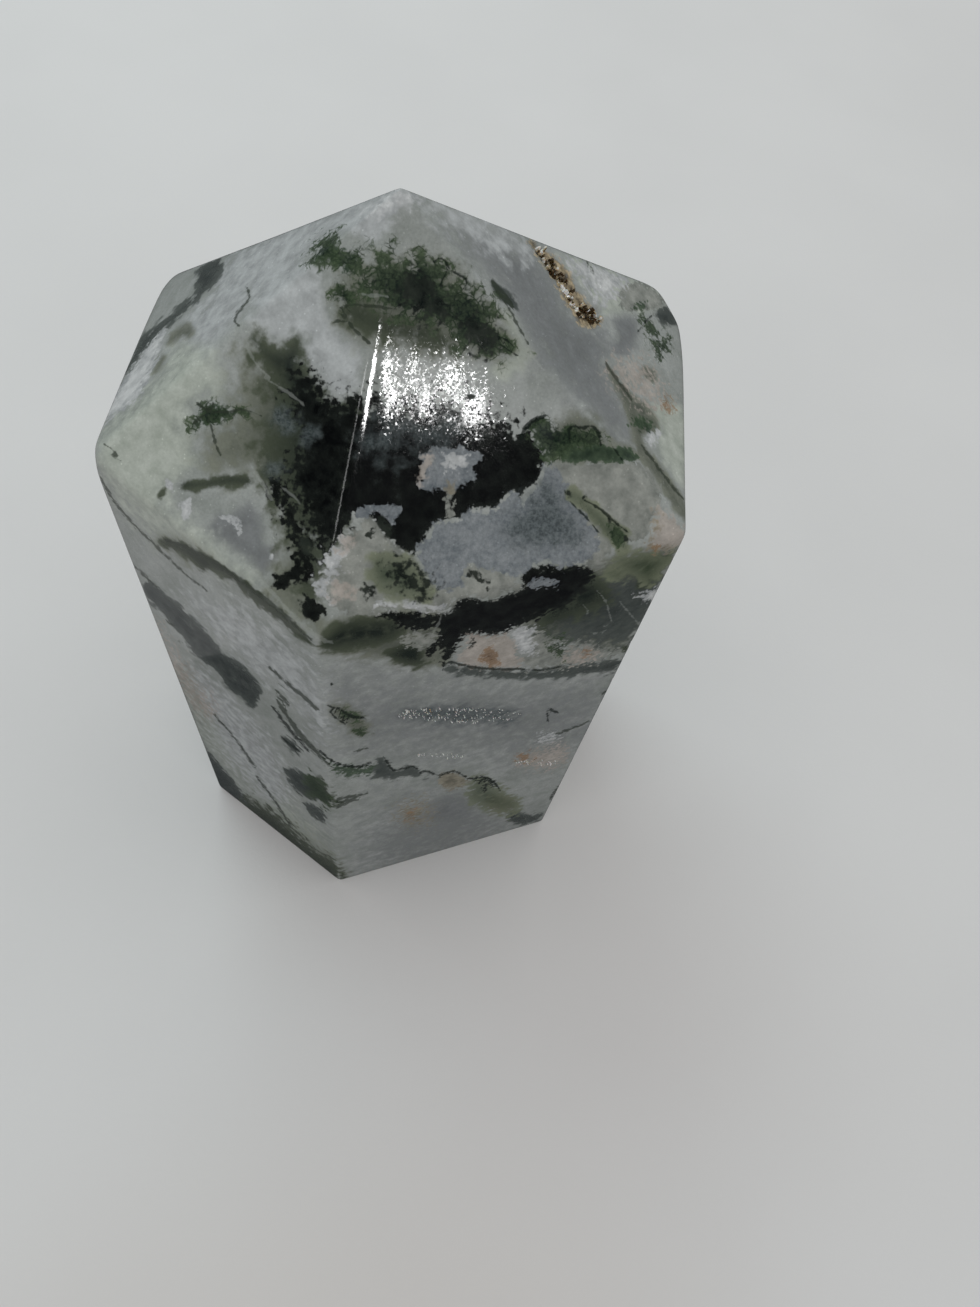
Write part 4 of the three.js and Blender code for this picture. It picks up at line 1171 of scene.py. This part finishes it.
class Nodes:
    """Adds nodes to one tree and links them. A value given for an input may be a number, colour or output."""

    def __init__(self, tree):
        self.tree = tree

    def put(self, value, socket):
        """Links an output to an input, or sets the input's own value."""
        if isinstance(value, bpy.types.NodeSocket):
            self.tree.links.new(value, socket)
        else:
            socket.default_value = value

    def add(self, kind, values=(), **settings):
        """A node with its settings, and its inputs by name or number."""
        node = self.tree.nodes.new(kind)
        for name, setting in settings.items():
            setattr(node, name, setting)
        for socket, value in dict(values).items():
            self.put(value, node.inputs[socket])
        return node

    def maths(self, operation, first, second=0.0, third=0.0):
        """One step of arithmetic on numbers."""
        return self.add("ShaderNodeMath", {0: first, 1: second, 2: third}, operation=operation).outputs[0]

    def vector(self, operation, first, second=(0.0, 0.0, 0.0), third=(0.0, 0.0, 0.0)):
        """One step of arithmetic on vectors."""
        values = {0: first, 1: second, 2: third}
        return self.add("ShaderNodeVectorMath", values, operation=operation).outputs[0]

    def scaled(self, vector, factor):
        """A vector or a colour times a number."""
        return self.add("ShaderNodeVectorMath", {0: vector, "Scale": factor}, operation="SCALE").outputs[0]

    def noise(self, vector, scale, detail, roughness, distortion=0.0):
        """A noise between 0 and 1."""
        values = {"Vector": vector, "Scale": scale, "Detail": detail}
        values.update({"Roughness": roughness, "Distortion": distortion})
        return self.add("ShaderNodeTexNoise", values).outputs["Fac"]

    def cells(self, vector, scale, **settings):
        """The outputs of a pattern of uneven cells."""
        return self.add("ShaderNodeTexVoronoi", {"Vector": vector, "Scale": scale}, **settings).outputs

    def step(self, value, low, high, start=0.0, end=1.0):
        """A smooth step from a start at the low value to an end at the high one."""
        values = {"Value": value, "From Min": low, "From Max": high, "To Min": start, "To Max": end}
        return self.add("ShaderNodeMapRange", values, interpolation_type="SMOOTHSTEP").outputs["Result"]

    def mix(self, share, first, second):
        """A share of the way from a first colour to a second."""
        return self.add("ShaderNodeMix", {"Factor": share, 6: first, 7: second}, data_type="RGBA").outputs[2]

    def swing(self, weave, middle, parts):
        """A middle value plus shares of some weave patterns."""
        for pattern, share in parts:
            middle = self.maths("MULTIPLY_ADD", weave[pattern], share, middle)
        return middle

    def field(self, name):
        """A number that the mesh holds for each vertex."""
        return self.add("ShaderNodeAttribute", attribute_name=name).outputs["Fac"]

    def group(self, name, build, values):
        """The outputs of a shared node group, which is built when it is first asked for."""
        tree = bpy.data.node_groups.get(name) or build(name)
        return self.add("ShaderNodeGroup", values, node_tree=tree).outputs


def new_group(name, inputs, outputs):
    """The helper, inputs and output sockets to fill a new shader node group with named sockets."""
    tree = bpy.data.node_groups.new(name, "ShaderNodeTree")
    for label, kind in inputs:
        tree.interface.new_socket(label, in_out="INPUT", socket_type=kind)
    for label, kind in outputs:
        tree.interface.new_socket(label, in_out="OUTPUT", socket_type=kind)
    nodes = Nodes(tree)
    entry = nodes.add("NodeGroupInput")
    leave = nodes.add("NodeGroupOutput")
    return nodes, entry.outputs, leave.inputs


def mineral_group(name):
    """Lays one mineral over what is below it, where its depth plus the fray is above zero."""
    inputs = [(label, "NodeSocketColor") for label in ("Below", "Light", "Dark")]
    numbers = ("Depth", "Fray", "Reach", "Crisp", "Strength", "Core", "Mottle")
    inputs += [(label, "NodeSocketFloat") for label in numbers]
    nodes, given, out = new_group(name, inputs, [("Colour", "NodeSocketColor"), ("Mask", "NodeSocketFloat")])
    frayed = nodes.maths("MULTIPLY_ADD", given["Fray"], given["Reach"], given["Depth"])
    outer = nodes.maths("MULTIPLY", given["Crisp"], -1.0)
    mask = nodes.maths("MULTIPLY", nodes.step(frayed, outer, given["Crisp"]), given["Strength"])
    mottle = nodes.maths("MULTIPLY_ADD", nodes.step(frayed, *CORE_STEP), given["Core"], given["Mottle"])
    mineral = nodes.mix(mottle, given["Dark"], given["Light"])
    nodes.put(nodes.mix(mask, given["Below"], mineral), out["Colour"])
    nodes.put(mask, out["Mask"])
    return nodes.tree


def weave_group(name):
    """Patterns of the stone at its real scale, from a place in millimetres: broad clouds, the fray of an
    edge, fine grain, sugary cells, moss fibres and tiny sparkles."""
    labels = ("Cloud", "Drift", "Fray", "Tatter", "Fine", "Sugar", "Fibres", "Sparkle")
    outputs = [(label, "NodeSocketFloat") for label in labels]
    nodes, given, out = new_group(name, [("Place", "NodeSocketVector")], outputs)
    place = given["Place"]
    noises = {pattern: nodes.noise(place, *values) for pattern, values in NOISES.items()}
    sway = nodes.add("ShaderNodeTexNoise", {"Vector": place, **THREAD_SWAY}).outputs["Color"]
    swayed = nodes.vector("MULTIPLY_ADD", sway, (THREAD_SWAY_WIDTH,) * 3, place)
    threads = nodes.cells(swayed, THREADS_PER_MILLIMETRE, feature="DISTANCE_TO_EDGE")["Distance"]
    stars = nodes.cells(place, STARS_PER_MILLIMETRE)["Distance"]
    centred = nodes.maths("SUBTRACT", noises["fray"], 0.5)
    tattered = nodes.maths("MULTIPLY_ADD", noises["fine"], TATTER_FINE, TATTER_MIDDLE)
    results = {
        "Cloud": nodes.step(noises["cloud"], *CLOUD_STEP),
        "Drift": nodes.step(noises["drift"], *CLOUD_STEP),
        "Fray": nodes.maths("MULTIPLY", centred, FRAY_GAIN),
        "Tatter": nodes.maths("MULTIPLY_ADD", noises["tatter"], FRAY_GAIN, tattered),
        "Fine": nodes.maths("SUBTRACT", noises["fine"], 0.5),
        "Sugar": nodes.step(noises["sugar"], *SUGAR_STEP),
        "Fibres": nodes.maths(
            "MULTIPLY_ADD", nodes.step(threads, *THREAD_STEP), FIBRE_THREADS,
            nodes.maths("MULTIPLY", centred, FIBRE_FRAY)),
        "Sparkle": nodes.step(stars, *STAR_STEP),
    }
    for label, result in results.items():
        nodes.put(result, out[label])
    return nodes.tree


def opaque(colour):
    """A colour with its alpha."""
    return (*colour, 1.0)


def place_in_millimetres(nodes):
    """Object coordinates scaled from metres to millimetres."""
    return nodes.scaled(nodes.add("ShaderNodeTexCoord").outputs["Object"], 1 / MM)


def new_material(name, settings):
    """A node material with constant values on its Principled shader, its helper and that shader's inputs."""
    material = bpy.data.materials.new(name)
    material.use_nodes = True
    shader = material.node_tree.nodes["Principled BSDF"].inputs
    for socket, value in settings.items():
        shader[socket].default_value = value
    return material, Nodes(material.node_tree), shader


def glittering_normal(nodes, draw, pit):
    """The surface's own direction, tilted a little from grain to grain: with d a grain's random colour less
    a half, by GRAIN_TILT d^5, so that most grains lie almost flat and a few stand out. The pit leans away."""
    centred = nodes.vector("SUBTRACT", draw, (0.5,) * 3)
    squared = nodes.vector("MULTIPLY", centred, centred)
    cubed = nodes.vector("MULTIPLY", squared, centred)
    fifth = nodes.vector("MULTIPLY", squared, cubed)
    normal = nodes.add("ShaderNodeNewGeometry").outputs["Normal"]
    leaning = nodes.vector("ADD", normal, nodes.scaled(PIT_TILT, pit))
    tilted = nodes.vector("MULTIPLY_ADD", fifth, (GRAIN_TILT,) * 3, leaning)
    return nodes.vector("NORMALIZE", tilted)


def with_minerals(nodes, weave, colours, colour):
    """A colour with every mineral laid over it in order, and where the rough golden seam lies."""
    masks = {}
    for mineral in MINERALS:
        layer = nodes.group("Mineral Layer", mineral_group, {
            "Below": colour,
            "Light": opaque(getattr(colours, mineral.name + "_light")),
            "Dark": opaque(getattr(colours, mineral.name + "_dark")),
            "Depth": nodes.field(mineral.name),
            "Fray": weave[mineral.weave.capitalize()],
            "Reach": mineral.reach,
            "Crisp": mineral.crisp,
            "Strength": mineral.strength,
            "Core": mineral.core,
            "Mottle": nodes.swing(weave, *SWINGS.get(mineral.name, PLAIN_SWING)),
        })
        colour = layer["Colour"]
        masks[mineral.name] = layer["Mask"]
    return colour, masks["gold"]


def with_strokes(nodes, weave, colours, colour):
    """A colour with every kind of stroke drawn over it, and where the last kind lies, which is the pit.

    A stroke shows where its half width exceeds the distance from its centre line.
    """
    wobble = nodes.maths("MULTIPLY", weave["Tatter"], LINE_WOBBLE)
    for line in LINES:
        distance = nodes.maths("ABSOLUTE", nodes.field(line.kind + "_side"))
        over = nodes.maths("SUBTRACT", nodes.field(line.kind + "_width"), distance)
        shown = nodes.step(nodes.maths("ADD", over, wobble), -LINE_BLUR, LINE_BLUR)
        mask = nodes.maths("MULTIPLY", shown, line.strength)
        colour = nodes.mix(mask, colour, opaque(getattr(colours, line.colour)))
    return colour, mask


def stone_material(colours, shape):
    """Polished moss agate: the minerals laid over a milky body of two greys, then the strokes."""
    material, nodes, shader = new_material("moss_agate_polished", STONE_SHADER)
    place = place_in_millimetres(nodes)
    weave = nodes.group("Stone Weave", weave_group, {"Place": place})
    body = nodes.mix(nodes.swing(weave, *BODY_SWING), opaque(colours.body_dark), opaque(colours.body_light))
    colour, seam = with_minerals(nodes, weave, colours, body)
    colour, pit = with_strokes(nodes, weave, colours, colour)
    nodes.put(nodes.scaled(colour, nodes.swing(weave, *GLINT_SWING)), shader["Base Color"])
    grains = nodes.cells(place, GRAINS_PER_MILLIMETRE)
    dullest = shape.polish + GRAIN_RIM_ROUGHNESS
    polish = nodes.step(grains["Distance"], *GRAIN_RIM, shape.polish, dullest)
    values = {0: seam, 2: polish, 3: SEAM_ROUGHNESS}
    roughness = nodes.add("ShaderNodeMix", values, data_type="FLOAT").outputs[0]
    nodes.put(roughness, shader["Roughness"])
    nodes.put(glittering_normal(nodes, grains["Color"], pit), shader["Normal"])
    return material


def crystal_material(colours):
    """Small quartz crystals stained gold and then brown by iron."""
    material, nodes, shader = new_material("seam_quartz", CRYSTAL_SHADER)
    weave = nodes.group("Stone Weave", weave_group, {"Place": place_in_millimetres(nodes)})
    stain = nodes.maths("MULTIPLY_ADD", weave["Fray"], STAIN_FRAY, nodes.field("iron"))
    golden = nodes.mix(nodes.step(stain, *GOLD_STAIN), opaque(colours.quartz), opaque(colours.gold_light))
    stained = nodes.mix(nodes.step(stain, *BROWN_STAIN), golden, opaque(colours.gold_dark))
    nodes.put(stained, shader["Base Color"])
    return material


def crystal_shapes(trough, draw):
    """Points of many small six-sided crystals along one trough, as crystal, point and xyz, and their iron.

    Each is a prism ring low down, the same ring higher up and a tip, turned by a random amount round its
    own axis, which leans away from the outward direction. It stands on the floor of the trough.
    """
    path = rounded(np.column_stack([trough.path, trough.half_widths, trough.iron]), closed=False)
    lengths = np.linalg.norm(np.diff(path[:, :3], axis=0), axis=1)
    reach = np.concatenate([[0], np.cumsum(lengths)])
    along = draw.uniform(0, reach[-1], trough.crystals)
    middle = np.column_stack([np.interp(along, reach, column) for column in path.T])
    outward = height_above(middle[:, :3], SHARP_EDGE)[1]
    halfway = (reach[1:] + reach[:-1]) / 2
    run = np.column_stack([np.interp(along, halfway, np.diff(column)) for column in path[:, :3].T])
    across = np.cross(outward, run)
    across /= np.linalg.norm(across, axis=1, keepdims=True)
    sideways = draw.uniform(-1, 1, trough.crystals)
    size = trough.crystal_size * draw.uniform(*CRYSTAL_SIZES, trough.crystals)
    sunk = trough.depth * (1 - sideways ** 2) * TROUGH_FILL + CRYSTAL_FOOT * size
    foot = middle[:, :3] + across * (sideways * middle[:, 3])[:, None] - outward * sunk[:, None]
    lean = outward + CRYSTAL_LEAN * draw.normal(size=(trough.crystals, 3))
    lean /= np.linalg.norm(lean, axis=1, keepdims=True)
    first = np.cross(lean, draw.normal(size=(trough.crystals, 3)))
    first /= np.linalg.norm(first, axis=1, keepdims=True)
    second = np.cross(lean, first)
    angles = np.arange(CRYSTAL_SIDES) * 2 * math.pi / CRYSTAL_SIDES
    ring = np.cos(angles)[:, None] * first[:, None, :] + np.sin(angles)[:, None] * second[:, None, :]
    ring = ring * (size * CRYSTAL_RADIUS)[:, None, None]
    height = (size * draw.uniform(*CRYSTAL_HEIGHTS, trough.crystals))[:, None]
    low = foot[:, None, :] + ring
    high = low + (lean * height)[:, None, :]
    tip = foot + lean * (height + CRYSTAL_TIP * size[:, None])
    bottom = foot - lean * (CRYSTAL_FOOT * size[:, None])
    return np.concatenate([bottom[:, None], low, high, tip[:, None]], axis=1), middle[:, 4]


def crystal_faces(count):
    """Faces of one crystal repeated for all: a closed lower fan, six sides and an upper fan."""
    quads, fans = net_faces(2, CRYSTAL_SIDES)
    each = 2 + 2 * CRYSTAL_SIDES
    shift = (np.arange(count) * each)[:, None, None]
    return (quads + shift).reshape(-1, 4), (fans + shift).reshape(-1, 3)


def colour_property(label, what, default):
    """A colour that a user can change."""
    return FloatVectorProperty(
        name=label, description=what, default=default, subtype="COLOR", size=3, min=0.0, max=1.0)


def mineral_colours():
    """A light and a dark colour property for every mineral, and those of the body, lines and quartz."""
    plain = (
        ("body_light", "Body, light", "Paler grey of the milky body", (0.41, 0.435, 0.43)),
        ("body_dark", "Body, dark", "Deeper grey of the milky body", (0.27, 0.295, 0.28)),
        ("line_dark", "Dark lines", "Colour of the free dark strokes", (0.035, 0.045, 0.032)),
        # The edge colour also paints the shade in the pit.
        ("line_edge", "Edge lines", "Colour of the strokes along dark rims", (0.008, 0.014, 0.010)),
        # The pale lines are healed cracks, and one of them is partly a painted highlight along the left
        # shoulder edge.
        ("line_pale", "Pale lines", "Colour of the healed cracks", (0.40, 0.43, 0.41)),
        ("quartz", "Quartz", "Colour of the clean crystals", (0.80, 0.80, 0.79)),
    )
    made = {name: colour_property(*settings) for name, *settings in plain}
    for mineral in MINERALS:
        for tone, part, colour in (("light", "Paler", mineral.light), ("dark", "Deeper", mineral.dark)):
            label = f"{mineral.name.capitalize()}, {tone}"
            what = f"{part} part of the {mineral.name}"
            made[f"{mineral.name}_{tone}"] = colour_property(label, what, colour)
    return made


class StoneShape(bpy.types.PropertyGroup):
    """Sizes of the stone's finish."""

    edge_softness: FloatProperty(
        name="Edge softness", description="How far the polish rounds every edge",
        default=EDGE_SOFTNESS * MM, min=0.02 * MM, max=1.0 * MM, precision=5, unit="LENGTH")
    trough_depth: FloatProperty(
        name="Trough depth",
        description="How deep the crystal-lined troughs are, as a share of their measured depth",
        default=1.0, min=0.0, max=1.5, subtype="FACTOR")
    polish: FloatProperty(
        name="Polish", description="Roughness of the polished faces",
        default=0.035, min=0.0, max=1.0, subtype="FACTOR")
    crystal_seed: IntProperty(
        name="Crystal seed", description="Chooses another scatter of the small crystals",
        default=CRYSTAL_SEED, min=0)


class StoneColours(bpy.types.PropertyGroup):
    """Colours of the minerals."""

    __annotations__ = mineral_colours()


class StageSettings(bpy.types.PropertyGroup):
    """Sizes and strengths of the floor and the lights."""

    floor_radius: FloatProperty(
        name="Floor radius", description="Radius of the round floor",
        default=4.0, min=0.5, max=20.0, unit="LENGTH")
    floor_colour: colour_property("Floor colour", "Colour of the pale floor", (0.74, 0.745, 0.755))
    overhead_power: FloatProperty(
        name="Overhead power", description="Power of the large soft light overhead",
        default=0.5, min=0.0, unit="POWER")
    highlight_radiance: FloatProperty(
        name="Highlights", description="Brightness of the narrow lights that show as highlights",
        default=38.0, min=0.0)
    edge_radiance: FloatProperty(
        name="Edge line", description="Brightness of the light that the front edge shows",
        default=7.0, min=0.0)
    sheen_radiance: FloatProperty(
        name="Left sheen", description="Brightness of the floor that the left side mirrors",
        default=0.126, min=0.0)
    surroundings: FloatProperty(
        name="Surroundings", description="Brightness of the soft light from all round",
        default=0.665, min=0.0)


class AGATE_OT_build_stone(bpy.types.Operator):
    """Build the polished stone with its mineral markings"""

    bl_idname = "agate_tower.build_stone"
    bl_label = "Build Stone"

    def execute(self, context):
        scene = context.scene
        shape = scene.agate_shape
        softness = shape.edge_softness / MM
        sharp = sharp_rings()
        rings, columns = sharp.shape[:2]
        sharp = np.concatenate([np.zeros((1, 3)), sharp.reshape(-1, 3), APEX[None]])
        surface = onto_surface(sharp, softness)
        surface[0] = 0.0
        outward = height_above(surface, softness)[1]
        material = stone_material(scene.agate_colours, shape)
        points = opened(surface, outward, shape)
        stone = mesh_object(STONE_NAME, points, net_faces(rings, columns), material, smooth=True)
        for name, depth in mineral_depths(surface).items():
            add_field(stone.data, name, depth)
        for kind, (side, width) in stroke_fields(surface).items():
            add_field(stone.data, kind + "_side", side)
            add_field(stone.data, kind + "_width", width)
        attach(stone, BODY)
        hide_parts(NODE)
        return {"FINISHED"}


class AGATE_OT_grow_crystals(bpy.types.Operator):
    """Grow the small crystals that line the rough troughs"""

    bl_idname = "agate_tower.grow_crystals"
    bl_label = "Grow Crystals"

    def execute(self, context):
        scene = context.scene
        draw = np.random.default_rng(scene.agate_shape.crystal_seed)
        blocks = [crystal_shapes(trough, draw) for trough in TROUGHS]
        points = np.concatenate([block for block, _ in blocks])
        iron = np.repeat(np.concatenate([share for _, share in blocks]), points.shape[1])
        material = crystal_material(scene.agate_colours)
        faces = crystal_faces(len(points))
        crystals = mesh_object(CRYSTALS_NAME, points.reshape(-1, 3), faces, material, smooth=False)
        add_field(crystals.data, "iron", iron)
        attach(crystals, BODY)
        return {"FINISHED"}


# The floor's rings and columns, its faint tooth and blots, and the soft shade that a viewer casts in front:
# its middle and the distances over which it fades, in millimetres, and its share of the floor's colour.
FLOOR_RINGS = 8
FLOOR_COLUMNS = 96
FLOOR_TOOTH = (2.2, 3.0, 0.6)
FLOOR_BUMP = {"Strength": 0.2, "Distance": 0.00008}
FLOOR_BLOTS = (0.02, 3.0, 0.5)
BLOT_STEP = (0.3, 0.7)
BLOT_SHARE = (0.97, 0.97, 0.97)
VIEWER_SHADE = (8.0, -112.0, 0.0)
VIEWER_SHADE_FADE = (28.0, 75.0)
VIEWER_SHADE_SHARE = (0.90, 0.865, 0.84)


def floor_disc(radius):
    """A round floor as rings of growing radius round its middle, and its faces."""
    radii = radius * np.linspace(0, 1, FLOOR_RINGS + 1)[1:] ** 2
    angles = np.linspace(0, 2 * math.pi, FLOOR_COLUMNS, endpoint=False)
    across, along = np.outer(radii, np.cos(angles)), np.outer(radii, np.sin(angles))
    rings = np.stack([across, along, np.zeros_like(across)], axis=-1)
    ring, column = np.meshgrid(np.arange(FLOOR_RINGS - 1), np.arange(FLOOR_COLUMNS), indexing="ij")
    following = (column + 1) % FLOOR_COLUMNS
    inner = 1 + ring * FLOOR_COLUMNS
    outer = inner + FLOOR_COLUMNS
    quads = np.stack([inner + column, outer + column, outer + following, inner + following], axis=-1)
    place = np.arange(FLOOR_COLUMNS)
    fan = np.stack([np.zeros_like(place), 1 + place, 1 + (place + 1) % FLOOR_COLUMNS], axis=-1)
    return np.concatenate([np.zeros((1, 3)), rings.reshape(-1, 3)]), (quads.reshape(-1, 4), fan)


def tinted(colour, shares):
    """A colour with each channel times its own share, and its alpha."""
    return opaque(channel * share for channel, share in zip(colour, shares))


def floor_material(colour):
    """Plain pale card with a very faint tooth, a little warmer and duller where the viewer shades it."""
    material, nodes, shader = new_material("pale_card", FLOOR_SHADER)
    place = place_in_millimetres(nodes)
    blot = nodes.step(nodes.noise(place, *FLOOR_BLOTS), *BLOT_STEP)
    tone = nodes.mix(blot, tinted(colour, BLOT_SHARE), opaque(colour))
    away = nodes.add("ShaderNodeVectorMath", {0: place, 1: VIEWER_SHADE}, operation="DISTANCE")
    clear = nodes.step(away.outputs["Value"], *VIEWER_SHADE_FADE)
    nodes.put(nodes.mix(clear, tinted(colour, VIEWER_SHADE_SHARE), tone), shader["Base Color"])
    bump = nodes.add("ShaderNodeBump", {"Height": nodes.noise(place, *FLOOR_TOOTH), **FLOOR_BUMP})
    nodes.put(bump.outputs["Normal"], shader["Normal"])
    return material


# The soft light overhead, in metres, and the tints of the surroundings: their share of the light on the
# stone and the floor, what the polish mirrors of them, and what the camera sees past the floor.
OVERHEAD_PLACE = (-0.2, 0.26, 0.45)
OVERHEAD_SIZE = (0.3, 0.25)
OVERHEAD_COLOUR = (0.78, 0.98, 1.0)
SURROUNDINGS_SHARE = (1.02, 1.0, 0.975)
SURROUNDINGS_MIRRORED = (0.04, 0.042, 0.045)
SURROUNDINGS_SEEN = (0.60, 0.61, 0.62)

# Narrow lights that the front facet mirrors: the middle, width and height of each highlight in photo pixels.
Highlight = namedtuple("Highlight", "across down width height")
HIGHLIGHTS = (
    Highlight(370, 388, 3, 22),
    Highlight(386, 372, 6, 26),
    Highlight(391, 399, 8, 28),
    Highlight(413, 374, 8, 24),
    Highlight(426, 402, 9, 30),
    Highlight(452, 381, 14, 26),
    Highlight(473, 408, 16, 32),
)
MIRROR_DISTANCE = 600.0

# Long narrow lights that the rounded edge between two facets mirrors: both ends in photo pixels, and how
# bright. The facets are numbers of cutting planes, and the width is in metres.
EdgeLine = namedtuple("EdgeLine", "upper lower brightness")
EDGE_LINES = (
    EdgeLine((363, 374), (355, 414), 0.7),
    EdgeLine((352, 426), (330, 540), 0.4),
)
EDGE_FACETS = (2, 12)
EDGE_LIGHT_WIDTH = 0.03

# A low light that lies on the floor and shows only in the polish of the left side, in metres.
SHEEN_SIZE = (0.14, 0.22)
SHEEN_PLACE = (-0.11, -0.03, 0.0005)

# Sensor width of the camera in millimetres and its nearest clipping distance in metres.
SENSOR_WIDTH = 36.0
CLIP_START = 0.005


def pose_towards_origin(place):
    """The pose of a light at a place in metres that shines at the stone's foot."""
    place = Vector(place)
    return Matrix.Translation(place) @ place.to_track_quat("Z", "Y").to_matrix().to_4x4()


def area_light(name, pose, size, power, colour=(1.0, 1.0, 1.0)):
    """A rectangular light that shines along its own -Z from a pose."""
    data = bpy.data.lights.new(name, "AREA")
    data.shape = "RECTANGLE"
    data.size, data.size_y = size
    data.energy = power
    data.color = colour
    light = bpy.data.objects.new(name, data)
    bpy.context.scene.collection.objects.link(light)
    light.matrix_world = pose
    light.visible_camera = False
    return light


def mirrored_place(pixel, normal=None):
    """The place that the stone mirrors towards the camera at a photo pixel, in millimetres. The normal is
    that of the rounded surface there if none is given."""
    place = place_on_stone(pixel)
    sight = place - CAMERA_PLACE
    sight /= np.linalg.norm(sight)
    if normal is None:
        normal = height_above(place[None], EDGE_SOFTNESS)[1][0]
    return place + MIRROR_DISTANCE * (sight - 2 * (sight @ normal) * normal)


def pose_along(middle, long_way, back):
    """The pose in metres of a light at a place in millimetres, from its long direction and its back."""
    z_axis = back / np.linalg.norm(back)
    x_axis = np.cross(long_way, z_axis)
    x_axis /= np.linalg.norm(x_axis)
    axes = Matrix(np.column_stack([x_axis, np.cross(z_axis, x_axis), z_axis]).tolist()).to_4x4()
    return Matrix.Translation(middle * MM) @ axes


def facet_highlight(mark):
    """The pose and size of the light that shows as one highlight on a facet."""
    across, down = mark.across, mark.down
    half_width, half_height = mark.width / 2, mark.height / 2
    upper = mirrored_place((across, down - half_height))
    lower = mirrored_place((across, down + half_height))
    wide_way = mirrored_place((across + half_width, down)) - mirrored_place((across - half_width, down))
    middle = (upper + lower) / 2
    pose = pose_along(middle, upper - lower, middle - place_on_stone((across, down)))
    return pose, (np.linalg.norm(wide_way) * MM, np.linalg.norm(upper - lower) * MM)


def edge_highlight(line):
    """The pose and size of a light that shows as a fine bright line on the rounded edge."""
    normal = NORMALS[list(EDGE_FACETS)].sum(axis=0)
    normal /= np.linalg.norm(normal)
    upper, lower = (mirrored_place(pixel, normal) for pixel in (line.upper, line.lower))
    middle = (upper + lower) / 2
    pose = pose_along(middle, upper - lower, middle - place_on_stone(line.upper))
    return pose, (EDGE_LIGHT_WIDTH, np.linalg.norm(upper - lower) * MM)


def mirrored_lights(stage):
    """The lights that show only in the polish, made from their poses, sizes in metres and radiances."""
    bright = [(*facet_highlight(mark), stage.highlight_radiance) for mark in HIGHLIGHTS]
    bright += [(*edge_highlight(line), stage.edge_radiance * line.brightness) for line in EDGE_LINES]
    upward = Matrix.Translation(SHEEN_PLACE) @ Matrix.Rotation(math.pi, 4, "X")
    bright.append((upward, SHEEN_SIZE, stage.sheen_radiance))
    for number, (pose, size, radiance) in enumerate(bright):
        light = area_light(f"highlight_{number}", pose, size, radiance * math.pi * size[0] * size[1])
        light.visible_diffuse = False


def photo_camera(scene):
    """The camera that took the photograph."""
    data = bpy.data.cameras.new("photo_camera")
    data.sensor_width = SENSOR_WIDTH
    data.lens = data.sensor_width * PHOTO_FOCAL / max(PHOTO_SIZE)
    data.clip_start = CLIP_START
    camera = bpy.data.objects.new("photo_camera", data)
    scene.collection.objects.link(camera)
    axes = np.column_stack([RIGHT, -DOWN, -FORWARD])
    camera.matrix_world = Matrix.Translation(CAMERA_PLACE * MM) @ Matrix(axes.tolist()).to_4x4()
    scene.camera = camera


def soft_surroundings(scene, strength):
    """Even light from all round, which the polish mirrors only dimly."""
    world = bpy.data.worlds.new("soft_surroundings")
    scene.world = world
    world.use_nodes = True
    nodes = Nodes(world.node_tree)
    path = nodes.add("ShaderNodeLightPath").outputs
    soft = tinted((strength,) * 3, SURROUNDINGS_SHARE)
    lit = nodes.mix(path["Is Glossy Ray"], soft, opaque(SURROUNDINGS_MIRRORED))
    shown = nodes.mix(path["Is Camera Ray"], lit, opaque(SURROUNDINGS_SEEN))
    nodes.put(shown, world.node_tree.nodes["Background"].inputs["Color"])


class AGATE_OT_set_stage(bpy.types.Operator):
    """Set up the pale floor, the soft lights and the camera"""

    bl_idname = "agate_tower.set_stage"
    bl_label = "Set Stage"

    def execute(self, context):
        scene = context.scene
        stage = scene.agate_stage
        points, faces = floor_disc(stage.floor_radius / MM)
        floor = mesh_object("pale_floor", points, faces, floor_material(stage.floor_colour), smooth=False)
        floor.visible_glossy = False
        photo_camera(scene)
        overhead = pose_towards_origin(OVERHEAD_PLACE)
        area_light("overhead_softbox", overhead, OVERHEAD_SIZE, stage.overhead_power, OVERHEAD_COLOUR)
        mirrored_lights(stage)
        soft_surroundings(scene, stage.surroundings)
        scene.view_settings.view_transform = "Standard"
        return {"FINISHED"}


class AGATE_PT_tower(bpy.types.Panel):
    """Sizes, colours and building steps of the moss agate tower"""

    bl_label = "Moss Agate Tower"
    bl_idname = "AGATE_PT_tower"
    bl_space_type = "VIEW_3D"
    bl_region_type = "UI"
    bl_category = "Agate Tower"

    def draw(self, context):
        layout = self.layout
        for operator in OPERATORS:
            layout.operator(operator.bl_idname)
        scene = context.scene
        groups = {"Shape": scene.agate_shape, "Colours": scene.agate_colours, "Stage": scene.agate_stage}
        for title, settings in groups.items():
            box = layout.box()
            box.label(text=title)
            for name in settings.bl_rna.properties.keys():
                if name not in {"rna_type", "name"}:
                    box.prop(settings, name)


OPERATORS = (AGATE_OT_set_stage, AGATE_OT_build_stone, AGATE_OT_grow_crystals)
CLASSES = (StoneShape, StoneColours, StageSettings, *OPERATORS, AGATE_PT_tower)


def register():
    """Adds the settings, operators and panel to Blender."""
    for made in CLASSES:
        bpy.utils.register_class(made)
    bpy.types.Scene.agate_shape = PointerProperty(type=StoneShape)
    bpy.types.Scene.agate_colours = PointerProperty(type=StoneColours)
    bpy.types.Scene.agate_stage = PointerProperty(type=StageSettings)


def unregister():
    """Takes them out again."""
    del bpy.types.Scene.agate_shape
    del bpy.types.Scene.agate_colours
    del bpy.types.Scene.agate_stage
    for made in reversed(CLASSES):
        bpy.utils.unregister_class(made)


def main():
    """Builds the stage, the stone and its crystals."""
    register()
    bpy.ops.agate_tower.set_stage()
    bpy.ops.agate_tower.build_stone()
    bpy.ops.agate_tower.grow_crystals()


if __name__ == "__main__":
    main()
